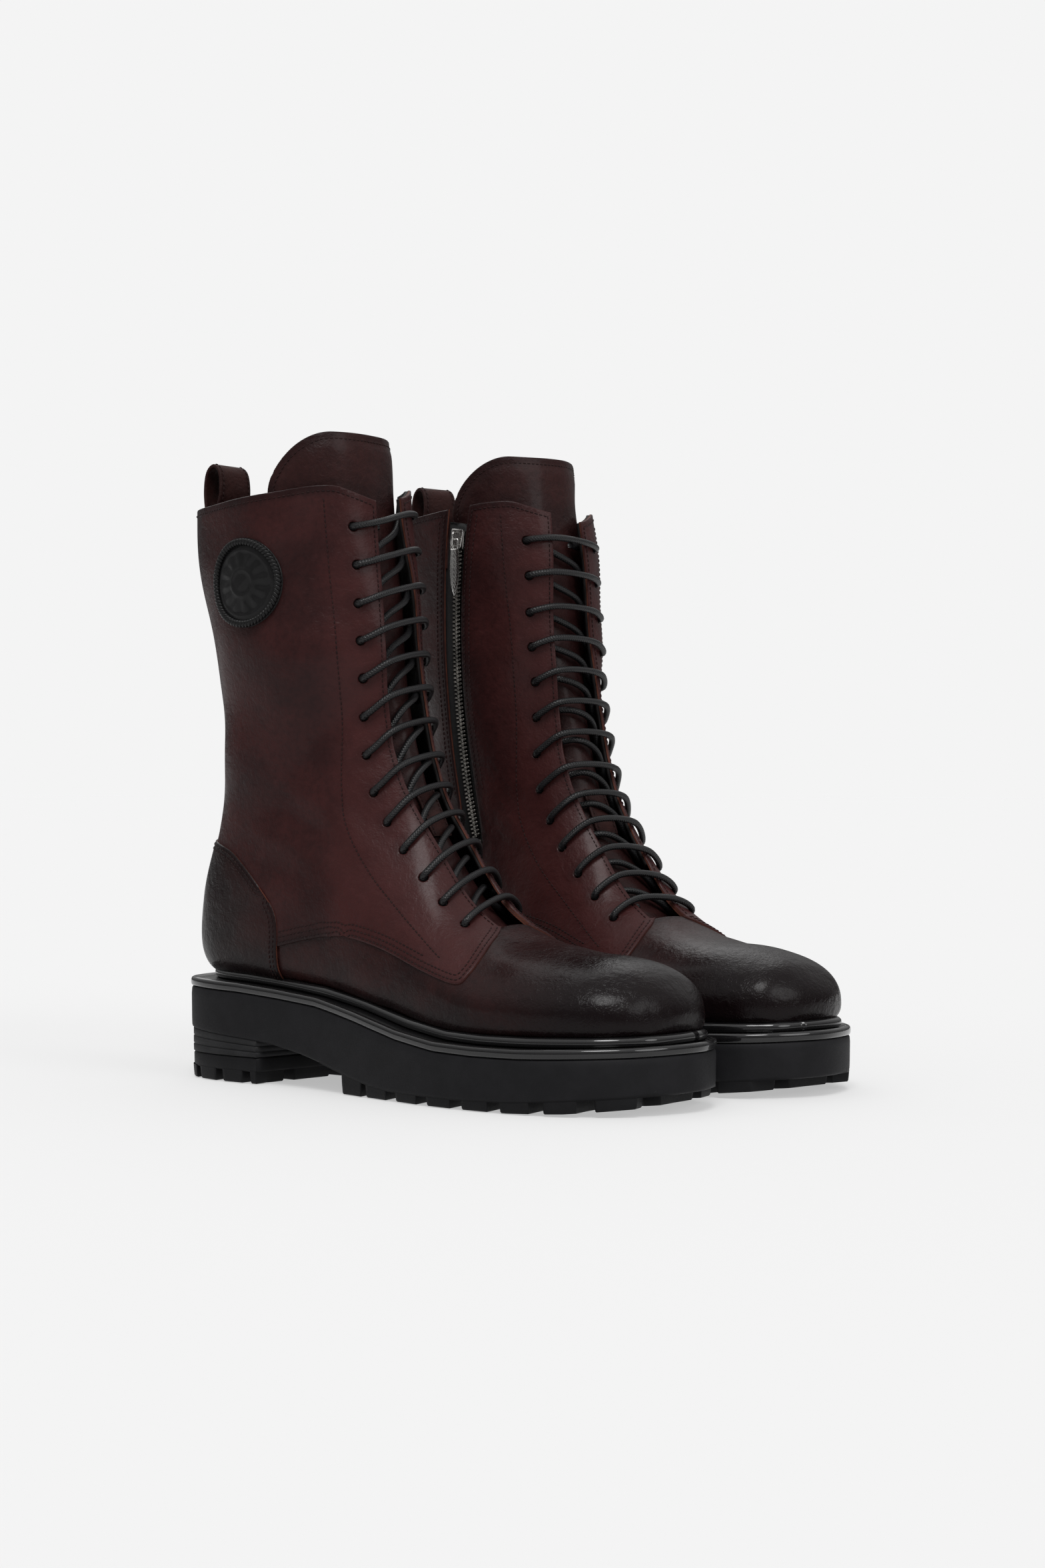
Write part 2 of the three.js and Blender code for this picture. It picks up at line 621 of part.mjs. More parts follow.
function soleParts() {
  const seat = form(clearance);
  const back = -5;
  const front = fitU(320);
  const welt = minus(soleSlab(0, profileLine(weltTop, back, front, -weltThickness),
    profileLine(weltTop, back, front)), planPrism(soleOutline(weltWidth), 0, 100), seat);
  const plateFrom = fitU(110);
  const pocket = soleSlab(-5, profileLine(treadTop, plateFrom - clearance, front, -3),
    profileLine(treadTop, plateFrom - clearance, front, treadPlate));
  const midsole = minus(soleSlab(0.8, profileLine(treadTop, back, front),
    profileLine(weltTop, back, front, -weltThickness - clearance)), seat, pocket);

  const plate = soleSlab(0.8, profileLine(treadTop, plateFrom, front),
    profileLine(treadTop, plateFrom, front, treadPlate - clearance));
  const lugZone = soleSlab(1.2, profileLine(groundLine, plateFrom + 2, front),
    profileLine(treadTop, plateFrom + 2, front, 0.6));
  const lugPitch = fitU(22);
  const lugLength = fitU(15);
  const blocks = [];
  for (let row = 0; row < 8; row += 1) {
    const u = fitU(122) + row * lugPitch;
    blocks.push(lug(fitV(24), fitV(70), u, u + lugLength, 3, -1, 30));
    blocks.push(lug(-fitV(70), -fitV(20), u + 3, u + 3 + lugLength, -3, -1, 30));
    if (row > 1) blocks.push(lug(-fitV(12), fitV(16), u + 5, u + 4 + lugLength, 0, -1, 30));
  }
  const outsole = joined(plate, common(joined(...blocks), lugZone));

  const level = (z) => [new THREE.Vector2(back, z), new THREE.Vector2(heelFront + 20, z)];
  const behind = (solid) => minus(solid, frontOfHeel());
  const stack = behind(soleSlab(1.2, level(topPieceHeight + clearance),
    profileLine(treadTop, back, heelFront + 20, -clearance)));
  const heelPlate = behind(soleSlab(1.6, level(topPieceHeight - topPiecePlate), level(topPieceHeight)));
  const sideGrooves = [17, 36, 55].map((u) => joined(
    lug(-fitV(60), -fitV(14), fitU(u), fitU(u) + 5, -3, -1, 30),
    lug(fitV(14), fitV(60), fitU(u), fitU(u) + 5, -3, -1, 30)));
  const ringGroove = joined(
    lug(-fitV(17.5), fitV(17.5), fitU(19), fitU(24), 0, -1, 30),
    lug(-fitV(17), -fitV(12), fitU(21), fitU(90), 0, -1, 30),
    lug(fitV(12), fitV(17), fitU(21), fitU(90), 0, -1, 30));
  const heelLugs = minus(behind(soleSlab(1.6, level(0), level(topPieceHeight - topPiecePlate + 0.5))),
    ...sideGrooves, ringGroove);
  const topPiece = joined(heelPlate, heelLugs);
  return { welt, midsole, outsole_forepart: outsole, heel_stack: stack, heel_top_piece: topPiece };
}

const liningOuter = leather + 2 * clearance + stiffening;
const liningInner = liningOuter + lining;

/** Slab that follows the bottom of the inside of the boot. */
function insideSlab(low, high, fromU, toU, halfWidth) {
  const bottom = rings.slice(2, 10).map((ring) => [ring[0], ring[1]]).reverse();
  const height = (u) => {
    const i = THREE.MathUtils.clamp(bottom.findIndex(([bu]) => bu > u), 1, bottom.length - 1);
    const [a, b] = [bottom[i - 1], bottom[i]];
    return lerp(a[1], b[1], (u - a[0]) / (b[0] - a[0]));
  };
  const us = [];
  for (let u = fromU; u < toU; u += 14) us.push(u);
  us.push(toU);
  return sidePrism([...us.map((u) => new THREE.Vector2(u, height(u) + low)),
    ...us.map((u) => new THREE.Vector2(u, height(u) + high)).reverse()], -halfWidth, halfWidth);
}

function insideParts() {
  const room = form(-(liningInner + 4 * clearance), 0, roomAngles);
  const boardLow = liningInner + clearance;
  const bedLow = boardLow + boardThickness + clearance;
  const shankLow = boardLow - clearance - shankThickness;
  return {
    insole_board: common(insideSlab(boardLow, boardLow + boardThickness, 0, fitU(300), wide), room),
    footbed: common(insideSlab(bedLow, bedLow + footbedThickness, 0, fitU(300), wide), room),
    shank: insideSlab(shankLow, shankLow + shankThickness, fitU(62), fitU(176), shankHalfWidth),
  };
}

function upperParts(rows) {
  const outer = minus(skin(0, leather), collarCut, marginHole(lastingMargin));
  const inner = minus(skin(liningOuter, liningInner), collarCut, marginHole(lastingMargin));
  const low = leather + clearance;
  const middle = minus(skin(low, low + stiffening), marginHole(lastingMargin));
  const half = clearance / 2;
  const outerHalf = slice(half, wide);
  const innerHalf = slice(-wide, -half);
  const throat = throatCut(facingHalfGap);
  const holes = joined(...rows.outer.map((station) => eyeletRod(station, eyeletV)),
    ...rows.inner.map((station) => eyeletRod(station, -eyeletV)));

  const counter = common(outer, counterZone(0));
  const vamp = minus(common(outer, vampZone(-half)), counterZone(clearance), throat);
  const shaft = minus(outer, vampZone(half), counterZone(clearance), throat, holes);
  const slot = zipSlot(zipHalfGap);
  const quarterOuter = common(shaft, outerHalf);
  const quarterInner = minus(common(shaft, innerHalf), slot);
  const quarterInnerFront = minus(quarterInner, behindZip(half));
  const quarterInnerRear = common(quarterInner, behindZip(-half));

  const vampLiningLine = sideLine(vampLiningEdge);
  const frontZone = (grow) => sidePrism([...shifted(vampLiningLine, grow), new THREE.Vector2(wide * 2, 150),
    new THREE.Vector2(wide * 2, -wide), new THREE.Vector2(fitU(96), -wide)], -wide, wide);
  const liningThroat = throatCut(eyeletV + laceDiameter + 5);
  const vampLining = minus(common(inner, frontZone(0)), liningThroat);
  const shaftLining = minus(inner, frontZone(clearance), liningThroat);
  const liningSlot = zipSlot(tapeHalfWidth + clearance * 4, 5);
  const innerLining = minus(common(shaftLining, innerHalf), liningSlot);

  const puffLine = [new THREE.Vector2(fitU(238), 0), new THREE.Vector2(fitU(228), 120)];
  const puffZone = sidePrism([...puffLine, new THREE.Vector2(wide * 2, 120), new THREE.Vector2(wide * 2, 0)],
    -wide, wide);
  return {
    vamp,
    heel_counter: counter,
    quarter_outer: quarterOuter,
    quarter_inner_front: quarterInnerFront,
    quarter_inner_rear: quarterInnerRear,
    toe_puff: common(middle, puffZone),
    heel_stiffener: common(middle, counterZone(-5)),
    vamp_lining: vampLining,
    lining_outer: common(shaftLining, outerHalf),
    lining_inner_front: minus(innerLining, behindZip(half)),
    lining_inner_rear: common(innerLining, behindZip(-half)),
  };
}

const tongueDepth = laceDiameter + leather + 3 * clearance + 3.6;
const tongueRise = 1.2; // stations the form is carried on above the collar

function tongueParts() {
  const sheet = minus(form(-tongueDepth, tongueRise), form(-tongueDepth - tongueThickness, tongueRise));
  const edge = sideLine(tongueEdge);
  const end = edge[edge.length - 1];
  const zone = sidePrism([...edge, new THREE.Vector2(wide * 2, end.y), new THREE.Vector2(wide * 2, fitZ(95)),
    new THREE.Vector2(edge[0].x + 1, fitZ(95))], -wide, wide);
  const top = fitZ(tongueTop);
  const plan = new THREE.Shape();
  plan.moveTo(-tongueHalfWidth, 40);
  plan.lineTo(tongueHalfWidth, 40);
  plan.lineTo(tongueHalfWidth, fitZ(150));
  const shoulder = top - tongueTopRound;
  const crown = tongueTopHalfWidth - tongueTopRound;
  plan.lineTo(tongueTopHalfWidth, fitZ(285));
  plan.lineTo(tongueTopHalfWidth, shoulder);
  plan.quadraticCurveTo(tongueTopHalfWidth, top - 2, crown, top - 1);
  plan.quadraticCurveTo(0, top + 1, -crown, top - 1);
  plan.quadraticCurveTo(-tongueTopHalfWidth, top - 2, -tongueTopHalfWidth, shoulder);
  plan.lineTo(-tongueTopHalfWidth, fitZ(285));
  plan.lineTo(-tongueHalfWidth, fitZ(150));
  const extrusion = { depth: wide * 2, bevelEnabled: false, curveSegments: 4 };
  const geometry = new THREE.ExtrudeGeometry(plan, extrusion);
  geometry.rotateX(Math.PI / 2).translate(0, wide * 2, 0);
  const front = solidOf(geometry);
  const tongue = common(sheet, zone, front);
  return { tongue };
}

/** Strap with a flat section along a side view line, centred across. */
function strap(line, thickness, halfWidth) {
  const outline = [...shifted(line, thickness / 2), ...shifted(line, -thickness / 2).reverse()];
  return sidePrism(outline, -halfWidth, halfWidth);
}

function strapParts() {
  const vector = (u, z) => new THREE.Vector2(u, z);
  const backAt = (z, height) => {
    let low = 9;
    let high = collarStation + 0.5;
    for (let turn = 0; turn < 40; turn += 1) {
      const mid = (low + high) / 2;
      if (facetPoint(mid, 0, height).z < z) low = mid;
      else high = mid;
    }
    return facetPoint(low, 0, height).y;
  };
  const off = clearance + strapThickness / 2;
  const top = collarHeight + pullLoopRise;
  const inDepth = -(liningInner + off);
  const loopLine = new THREE.SplineCurve([
    vector(backAt(collarHeight - pullLoopOverlap, off), collarHeight - pullLoopOverlap),
    vector(backAt(collarHeight - pullLoopOverlap / 2, off), collarHeight - pullLoopOverlap / 2),
    vector(backAt(collarHeight - 2, off), collarHeight - 2),
    vector(backAt(collarHeight, off) - 1.5, collarHeight + pullLoopRise * 0.45),
    vector(backAt(collarHeight, off) - 0.2, top - 4.5),
    vector(backAt(collarHeight, off) + 4, top - strapThickness / 2),
    vector(backAt(collarHeight, off) + 8.2, top - 5),
    vector(backAt(collarHeight, off) + 9, collarHeight + pullLoopRise * 0.4),
    vector(backAt(collarHeight - 2, inDepth), collarHeight - 2),
    vector(backAt(collarHeight - 18, inDepth), collarHeight - 18),
  ]).getPoints(22);
  const keeperOff = off + 0.15;
  const keeperLow = fitZ(130);
  const keeperHigh = keeperLow + keeperLength;
  const keeperLine = new THREE.SplineCurve([
    vector(backAt(keeperLow, keeperOff), keeperLow),
    vector(backAt(keeperLow + 5, keeperOff) - 0.4, keeperLow + 5),
    vector(backAt(keeperLow + keeperLength / 2, keeperOff) - keeperBow, keeperLow + keeperLength / 2),
    vector(backAt(keeperHigh - 5, keeperOff) - 0.4, keeperHigh - 5),
    vector(backAt(keeperHigh, keeperOff), keeperHigh),
  ]).getPoints(10);
  return {
    pull_loop: minus(strap(loopLine, strapThickness, pullLoopWidth / 2), form(clearance * 0.6)
      .subtract(form(-(liningInner + clearance * 0.6), 0.4)).subtract(collarCut)),
    back_keeper: strap(keeperLine, strapThickness, keeperWidth / 2),
  };
}

/** Round badge lying on the outer side of the shaft. */
function medallionPart() {
  const centre = new THREE.Vector2(fitU(medallionCentre[0]), fitZ(medallionCentre[1]));
  const sides = 20;
  const round = Array.from({ length: sides }, (unused, k) => new THREE.Vector2(
    centre.x + (medallionDiameter / 2) * Math.cos((k / sides) * 2 * Math.PI),
    centre.y + (medallionDiameter / 2) * Math.sin((k / sides) * 2 * Math.PI)));
  const sheet = minus(form(clearance + medallionThickness), form(clearance, 0.4));
  return { side_medallion: common(sheet, sidePrism(round, 0, wide)) };
}

/** Small leather strap across the tongue that keeps it centred. */
function tongueLoopPart(station) {
  const low = -tongueDepth + 2 * clearance;
  const high = low + strapThickness * 0.6;
  const across = tongueLoopWidth / 2;
  const stations = tongueLoopLength / 2 / 40;
  const loops = [-1, 0, 1].map((end) => {
    const s = station + end * stations * 2;
    return [[-across, low], [0, low], [across, low], [across, high], [0, high], [-across, high]]
      .map(([v, height]) => frontPoint(s, v || 1e-6, height));
  });
  return { tongue_lace_loop: loftSolid(loops, middleOf(loops[0]), middleOf(loops[2])) };
}

/** Tape, teeth, slider and pull of the inside zip. */
function zipParts() {
  const steps = 14;
  const tapeSides = [-tapeHalfWidth, tapeHalfWidth];
  const tapeHeights = [tapeTop - tapeThickness, tapeTop];
  const tape = zipBar(-3, zipLength + 4, tapeSides, tapeHeights, steps);
  const teeth = zipBar(0, zipLength, [-teethHalfWidth, teethHalfWidth], [teethLow, teethTop], steps);

  const plate = zipBar(0, sliderLength, [-sliderHalfWidth, sliderHalfWidth], [sliderLow, sliderTop]);
  const cheeks = [-1, 1].map((side) => {
    const reach = [side * (teethHalfWidth + clearance), side * sliderHalfWidth].sort((a, b) => a - b);
    return zipBar(0, sliderLength, reach, [tapeTop + clearance, sliderLow + 0.2]);
  });
  const bridge = minus(
    zipBar(1.5, sliderLength - 1.5, [-1.1, 1.1], [sliderTop - 0.2, bridgeLow + sliderBridge]),
    zipBar(2.6, sliderLength - 2.6, [-3, 3], [sliderTop, bridgeLow]));
  const slider = joined(plate, bridge, ...cheeks);

  const pin = zipPoint(sliderLength / 2, 0, pinUp);
  const tip = pinHalf - pullLength;
  const leaf = new THREE.Shape();
  leaf.moveTo(-3.2, pinHalf);
  leaf.lineTo(-3.2, -6);
  leaf.bezierCurveTo(-pullHalfWidth - 1.2, -11, -pullHalfWidth, -19, 0, tip);
  leaf.bezierCurveTo(pullHalfWidth, -19, pullHalfWidth + 1.2, -11, 3.2, -6);
  leaf.lineTo(3.2, pinHalf);
  const place = (points) => points.map((p) => new THREE.Vector2(p.x + pin.y, p.y + pin.z));
  const eye = [[-2, -pinHalf], [2, -pinHalf], [2, -5.2], [-2, -5.2]]
    .map(([x, y]) => new THREE.Vector2(x, y)).reverse();
  const pull = minus(
    sidePrism(place(leaf.getPoints(5)), pin.x - pullThickness / 2, pin.x + pullThickness / 2),
    sidePrism(place(eye), -wide, wide));
  return { zip_tape: tape, zip_teeth: teeth, zip_slider: slider, zip_pull: pull };
}

// ---------- materials ----------

const material = (color, roughness, metalness = 0) =>
  new THREE.MeshStandardMaterial({ color, roughness, metalness });
const upperLeather = material(0x54231f, 0.42);
const darkLeather = material(0x2c1413, 0.38);
const liningLeather = material(0x1c1a1a, 0.7);
const soleRubber = material(0x1b1b1c, 0.7);
const stackRubber = material(0x3a3938, 0.75);
const fibreboard = material(0x9a7f5c, 0.85);
const zipMetal = material(0x8f8d88, 0.35, 1);
const cord = material(0x101010, 0.5);
const materials = {
  welt: soleRubber, midsole: soleRubber, outsole_forepart: soleRubber, heel_stack: stackRubber,
  heel_top_piece: soleRubber, insole_board: fibreboard, footbed: liningLeather, shank: zipMetal,
  vamp: upperLeather, heel_counter: darkLeather, quarter_outer: upperLeather,
  quarter_inner_front: upperLeather, quarter_inner_rear: upperLeather, toe_puff: fibreboard,
  heel_stiffener: fibreboard, vamp_lining: liningLeather, lining_outer: liningLeather,
  lining_inner_front: liningLeather, lining_inner_rear: liningLeather, tongue: upperLeather,
  tongue_lace_loop: darkLeather, lace: cord, pull_loop: upperLeather, back_keeper: upperLeather,
  side_medallion: liningLeather, zip_tape: cord, zip_teeth: zipMetal, zip_slider: zipMetal,
  zip_pull: zipMetal,
};

// ---------- the pair ----------

/** Mesh of a solid, turned from the boot's frame so that the toe points to -Y. */
function bootMesh(name, solid, side, finish) {
  const mesh = solid.getMesh();
  const position = Float32Array.from(mesh.vertProperties);
  for (let i = 0; i < position.length; i += 3) {
    position[i] *= side;
    position[i + 1] *= -1;
  }
  const index = Array.from(mesh.triVerts);
  const geometry = new THREE.BufferGeometry();
  geometry.setAttribute('position', new THREE.BufferAttribute(position, 3));
  geometry.setIndex(side > 0 ? index.reverse() : index);
  geometry.computeVertexNormals();
  const result = new THREE.Mesh(geometry, finish);
  result.name = name;
  return result;
}

/** One boot; side is +1 for the left boot, whose outer side faces +X. */
function bootGroup(prefix, side, innerLift) {
  const rows = { outer: eyeletStations(0), inner: eyeletStations(innerLift) };
  const solids = {
    ...soleParts(), ...insideParts(), ...upperParts(rows), ...tongueParts(),
    ...tongueLoopPart(rows.outer[9]), lace: laceSolid(laceRoute(rows.outer, rows.inner)),
    ...strapParts(), ...medallionPart(), ...zipParts(),
  };
  const boot = new THREE.Group();
  Object.entries(solids).forEach(([name, solid]) => {
    boot.add(bootMesh(`${prefix}_${name}`, solid, side, materials[name]));
  });
  return boot;
}

const pair = new THREE.Group();
const right = bootGroup('right', -1, 9);
const left = bootGroup('left', 1, 2);
left.position.set(strideAcross, strideForward, 0);
left.rotation.z = leftToeIn;
pair.add(right, left);

// The pair stands with the middle of its footprint at the origin.
pair.updateMatrixWorld(true);
const footprint = new THREE.Box3().setFromObject(pair, true);
const centre = footprint.getCenter(new THREE.Vector3());
pair.position.set(-centre.x, -centre.y, -footprint.min.z);

export default pair;
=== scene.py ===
import math

import bpy
import numpy as np
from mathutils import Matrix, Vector, kdtree


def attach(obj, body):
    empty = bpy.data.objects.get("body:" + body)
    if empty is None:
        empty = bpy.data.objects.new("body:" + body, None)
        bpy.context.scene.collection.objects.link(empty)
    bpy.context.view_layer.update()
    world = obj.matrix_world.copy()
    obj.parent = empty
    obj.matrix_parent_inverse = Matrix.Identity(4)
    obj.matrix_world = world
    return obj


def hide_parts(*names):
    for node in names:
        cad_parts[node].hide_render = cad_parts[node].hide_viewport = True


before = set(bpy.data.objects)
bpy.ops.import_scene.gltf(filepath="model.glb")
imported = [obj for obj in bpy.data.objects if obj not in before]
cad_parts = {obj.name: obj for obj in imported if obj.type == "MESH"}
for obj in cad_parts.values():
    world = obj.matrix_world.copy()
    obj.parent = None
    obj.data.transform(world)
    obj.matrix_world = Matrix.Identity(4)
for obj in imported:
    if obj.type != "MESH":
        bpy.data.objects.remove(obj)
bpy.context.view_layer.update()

# ---------- camera ----------
camera_data = bpy.data.cameras.new("camera")
camera = bpy.data.objects.new("camera", camera_data)
bpy.context.collection.objects.link(camera)
camera.location = (-1.0756, -0.7917, 0.1493)
camera.rotation_euler = (math.radians(90.058), 0.0, math.radians(-53.48))
camera_data.sensor_fit = "VERTICAL"
camera_data.sensor_height = 36.0
camera_data.lens = 60.04
camera_data.clip_start = 0.05
bpy.context.scene.camera = camera

# ---------- the boot's own frame: v outward, u forward from the heel, z up, in mm ----------
# stations from the toe's tip up to the collar: u and z of the ring's low or back point, then of its
# high or front point, half width outward and inward, share of its height where it is widest, and how
# square its low or back half is
RINGS = np.array([
    [296, 42, 297, 46, 2, 2, 0.5, 2],
    [293, 34, 290, 60, 24, 22, 0.42, 2.4],
    [284, 33, 279, 67, 36, 32, 0.36, 2.7],
    [268, 31.5, 262, 71, 45, 39, 0.33, 3],
    [240, 30.5, 234, 73, 51, 43, 0.32, 3.2],
    [205, 30.5, 204, 80, 52, 44, 0.31, 3.2],
    [168, 34, 180, 97, 47, 41, 0.32, 3],
    [125, 43, 163, 122, 41, 37, 0.34, 3],
    [75, 49.5, 149, 148, 38, 36, 0.36, 3],
    [30, 51.8, 142, 169, 37, 36, 0.4, 2.8],
    [10, 60, 138, 186, 37, 36.5, 0.44, 2.5],
    [5, 84, 134, 200, 37, 37, 0.5, 2.3],
    [16, 118, 131, 215, 39, 38.5, 0.5, 2.2],
    [24, 155, 128, 231, 42, 40.5, 0.5, 2.2],
    [19, 200, 125, 253, 45, 43, 0.5, 2.2],
    [11, 246, 122, 279, 47, 45.5, 0.5, 2.2],
    [6, 293, 118, 312, 49, 48, 0.5, 2.2],
], float)
TOP_SQUARE = 2.15
# u of the sole's edge, half width outward and inward
SOLE = np.array([
    [0, 0, 0], [4, 20, 19], [14, 32, 30], [35, 38.5, 37], [70, 40, 39], [110, 43, 38],
    [150, 51, 41], [190, 58.5, 47], [225, 60, 50], [255, 56, 48], [280, 44, 40],
    [296, 26, 25], [304, 0, 0],
], float)
WELT_TOP = np.array([
    [-20, 51.6], [18, 51.6], [50, 50.5], [78, 48.5], [105, 46], [135, 40.5], [165, 34.2],
    [192, 30.6], [216, 29.8], [240, 29.8], [288, 31.4], [330, 33.5]], float)
TREAD_TOP = np.array([
    [-20, 28], [72, 21.5], [93, 18], [105, 15.2], [114, 12.8], [130, 9], [146, 6.2],
    [161, 4.8], [204, 4.6], [235, 5.4], [288, 9], [330, 12]], float)
GROUND = np.array([[-20, 0], [235, 0], [262, 1], [288, 3.4], [330, 8.5]], float)
WELT_DEEP = 4.5
TOP_PIECE = 13.0
QUARTER_FRONT = [
    [189, 150], [189, 100], [192, 88], [201, 79], [204.5, 70], [203.5, 62], [198, 57],
    [176, 62], [146, 71.5], [120, 76], [98, 74], [70, 68]]
COUNTER_EDGE = [
    [-12, 124], [16, 123], [40, 118], [53, 110], [66, 98.5], [74.5, 88], [76.8, 78],
    [76, 66], [75, 50], [75, 20]]
COLLAR = [[-30, 291], [6, 291], [40, 291.5], [80, 295], [104, 298], [113, 296], [128, 285]]
COLLAR_INNER = [[u, z + 3] for u, z in COLLAR]
EYESTAY = [
    [104, 310], [105, 290], [108, 256], [111, 224], [112, 188], [113, 147], [119, 127],
    [134, 107.5], [155, 89.5], [176, 74], [189, 66], [200, 60]]
BACK_SEAM = [[80, 84], [82, 60]]
# the arc that the zip lies on
ZIP_AXIS = np.array([-0.98604, 0.15802, -0.05246])
ZIP_CENTRE = np.array([34.03935, 551.18378, 216.38798])
ZIP_START = np.array([-0.16413, -0.97548, 0.14665])
ZIP_SIDE = np.array([-0.028, 0.15322, 0.9878])
ZIP_RADIUS = 481.49173
ZIP_LENGTH = 170.1905
ZIP_GAP = 6.5
# half the opening between the facings at each height
GAP_Z = [60, 80, 120, 150, 170, 228, 287, 320]
GAP_V = [12, 12.5, 13.7, 15.4, 15.8, 13.7, 11, 10]
# outer eyelets: distance across, u, z
HOLES_OUTER = [
    (24.3, 115.2, 277.7), (24, 117.2, 258.8), (24.5, 118.2, 239.6), (24.4, 119.9, 221.3),
    (23.6, 121.2, 202.1), (23.6, 122, 183.3), (24, 122.9, 164.5), (24.6, 127.3, 145.8),
    (25.2, 134.4, 129.5), (26, 144.9, 115.2), (26.5, 158, 102.8), (26.5, 171.9, 92.3),
    (26.5, 186, 82.5)]
HOLE_R = 2.3
LACE_R = 1.7
VAMP_H = -0.7
TIP = 1.0
QUARTER_H = 0.35
COUNTER_H = 1.25
PLACE = {"right": (-63.118, 159.430), "left": (86.882, 138.430)}
LEFT_COS = 0.97803
LEFT_SIN = 0.20846
LEATHER = 1.5
EDGE_ROUND = 0.65
EDGE_FAR = 14.0
EDGE_CAP = EDGE_FAR + 6
LINING_OUT = -1.3
LINING_IN = -2.9
THROAT_FOOT = 197.0
THROAT_BACK = 88.0
VAMP_UNDER_QUARTER = 9.0
VAMP_UNDER_COUNTER = 8.0
QUARTER_UNDER_COUNTER = 7.0
ZIP_STITCH_END = 142.0
TONGUE_DEPTH = 9.5
TONGUE_TOP = 326.0
TONGUE_HALF = 57.0
TONGUE_ROUND = 30.0
LOW_FRONT_U, LOW_FRONT_Z = 77, 96
SEAM_TOP = 100
EYESTAY_FOOT = 186
BACK_U, BACK_Z = 60, (126, 262)
ON_EDGE = 0.12
EDGE_STEP = 0.22
PADDING_FROM, PADDING_OVER = 4.2, 4.0
TIP_SIDES = 64
TIP_BULGE = 6.0


def to_world(points, side):
    """Boot frame in mm to the shared frame in metres."""
    v, u, z = np.moveaxis(np.asarray(points, float), -1, 0)
    x0, y0 = PLACE[side]
    if side == "right":
        x, y = x0 - v, y0 - u
    else:
        x = x0 + LEFT_COS * v - LEFT_SIN * u
        y = y0 - LEFT_SIN * v - LEFT_COS * u
    return np.stack([x, y, z], -1) / 1000.0


def spline(a, b, c, d, f):
    """Catmull-Rom curve between b and c."""
    return 0.5 * (2 * b + (c - a) * f + (2 * a - 5 * b + 4 * c - d) * f ** 2
                  + (3 * b - a - 3 * c + d) * f ** 3)


def rows(table, s):
    """Catmull-Rom rows of a table, straight on past its end."""
    s = np.asarray(s, float)
    last = len(table) - 1
    i = np.clip(np.floor(s).astype(int), 0, last - 1)
    before = table[np.clip(i - 1, 0, last)]
    after = table[np.clip(i + 2, 0, last)]
    value = spline(before, table[i], table[i + 1], after, (s - i)[..., None])
    end = table[last] + (table[last] - table[last - 1]) * (s - last)[..., None]
    return np.where((s > last)[..., None], end, value)


def upper(s, t):
    """Point of the upper at station s and angle t."""
    bu, bz, tu, tz, wl, wm, belly, square = np.moveaxis(rows(RINGS, s), -1, 0)
    sine = np.sin(t)
    cosine = np.cos(t)
    power = 2 / np.where(cosine > 0, square, TOP_SQUARE)
    across = np.sign(sine) * np.abs(sine) ** power
    share = np.clip((1 - np.sign(cosine) * np.abs(cosine) ** power) / 2, 1e-9, 1)
    share = share ** (np.log(np.clip(belly, 0.05, 0.95)) / math.log(0.5))
    width = np.where(across > 0, wl, wm)
    return np.stack([width * across, bu + (tu - bu) * share, bz + (tz - bz) * share], -1)


def unit(a):
    """Vectors scaled to length 1."""
    return a / np.maximum(np.linalg.norm(a, axis=-1, keepdims=True), 1e-12)


def lengths(path):
    """Length run at each point of a path."""
    return np.concatenate([[0], np.cumsum(np.linalg.norm(np.diff(path, axis=0), axis=1))])


def sample(at, steps, path):
    """Points of a path at the lengths in at."""
    return np.stack([np.interp(at, steps, column) for column in path.T], -1)


def normal(s, t):
    """Direction outward from the upper at station s and angle t."""
    step = 0.02
    low = np.maximum(s - step, 0.05)
    ring = upper(s, t + step) - upper(s, t - step)
    foot = upper(s + step, t) - upper(low, t)
    return unit(np.cross(ring, foot))


WAVE_COUNT = 14
WAVE_SHORTEST = 22
WAVE_LONGEST = 75
TURN = 6.283
ANKLE_U, ANKLE_Z = 96, 128
TOE_BEND_U = 208
WAVES = np.random.default_rng(7)
WAVE_DIR = unit(WAVES.normal(size=(WAVE_COUNT, 3)))
WAVE_LEN = WAVES.uniform(WAVE_SHORTEST, WAVE_LONGEST, WAVE_COUNT)
WAVE_PHASE = WAVES.uniform(0, 6.28, WAVE_COUNT)


def relief(p, seed=0.0):
    """Soft unevenness of worn-in leather, in mm: waves, folds at the ankle and at the toe's bend."""
    out = np.zeros(p.shape[:-1])
    for way, size, phase in zip(WAVE_DIR, WAVE_LEN, WAVE_PHASE):
        out += (size / WAVE_LONGEST) * np.sin(p @ way * TURN / size + phase * (1 + seed))
    v, u, z = p[..., 0], p[..., 1], p[..., 2]
    ankle = np.exp(-((z - ANKLE_Z) / 26) ** 2 - ((u - ANKLE_U) / 40) ** 2)
    fold = np.sin((z * 0.85 + u * 0.45 + 5 * np.sin(u / 19 + seed)) / 4.1)
    flex = np.exp(-((u - TOE_BEND_U) / 17) ** 2) * np.clip((z - 40) / 20, 0, 1)
    bend = np.sin((u + 3 * np.sin(v / 11 + seed)) / 3.2)
    # calm beside the zip, which lies flat
    down, away = zip_place(p)
    beside = np.clip((np.abs(away) - 7) / 16, 0, 1) + np.clip((down - ZIP_LENGTH) / 12, 0, 1)
    calm = np.where(v < 0, np.clip(beside, 0.12, 1), 1.0)
    swell = 0.18 + 0.2 * np.clip((z - 112) / 60, 0, 1)
    return (out * swell + ankle * fold * 0.5) * calm + flex * bend * 0.15


def surf(s, t, height, seed=0.0):
    """Points over the upper with its unevenness, and the directions outward there."""
    p = upper(s, t)
    n = normal(s, t)
    lift = np.asarray(height) + relief(p, seed)
    return p + n * lift[..., None], n


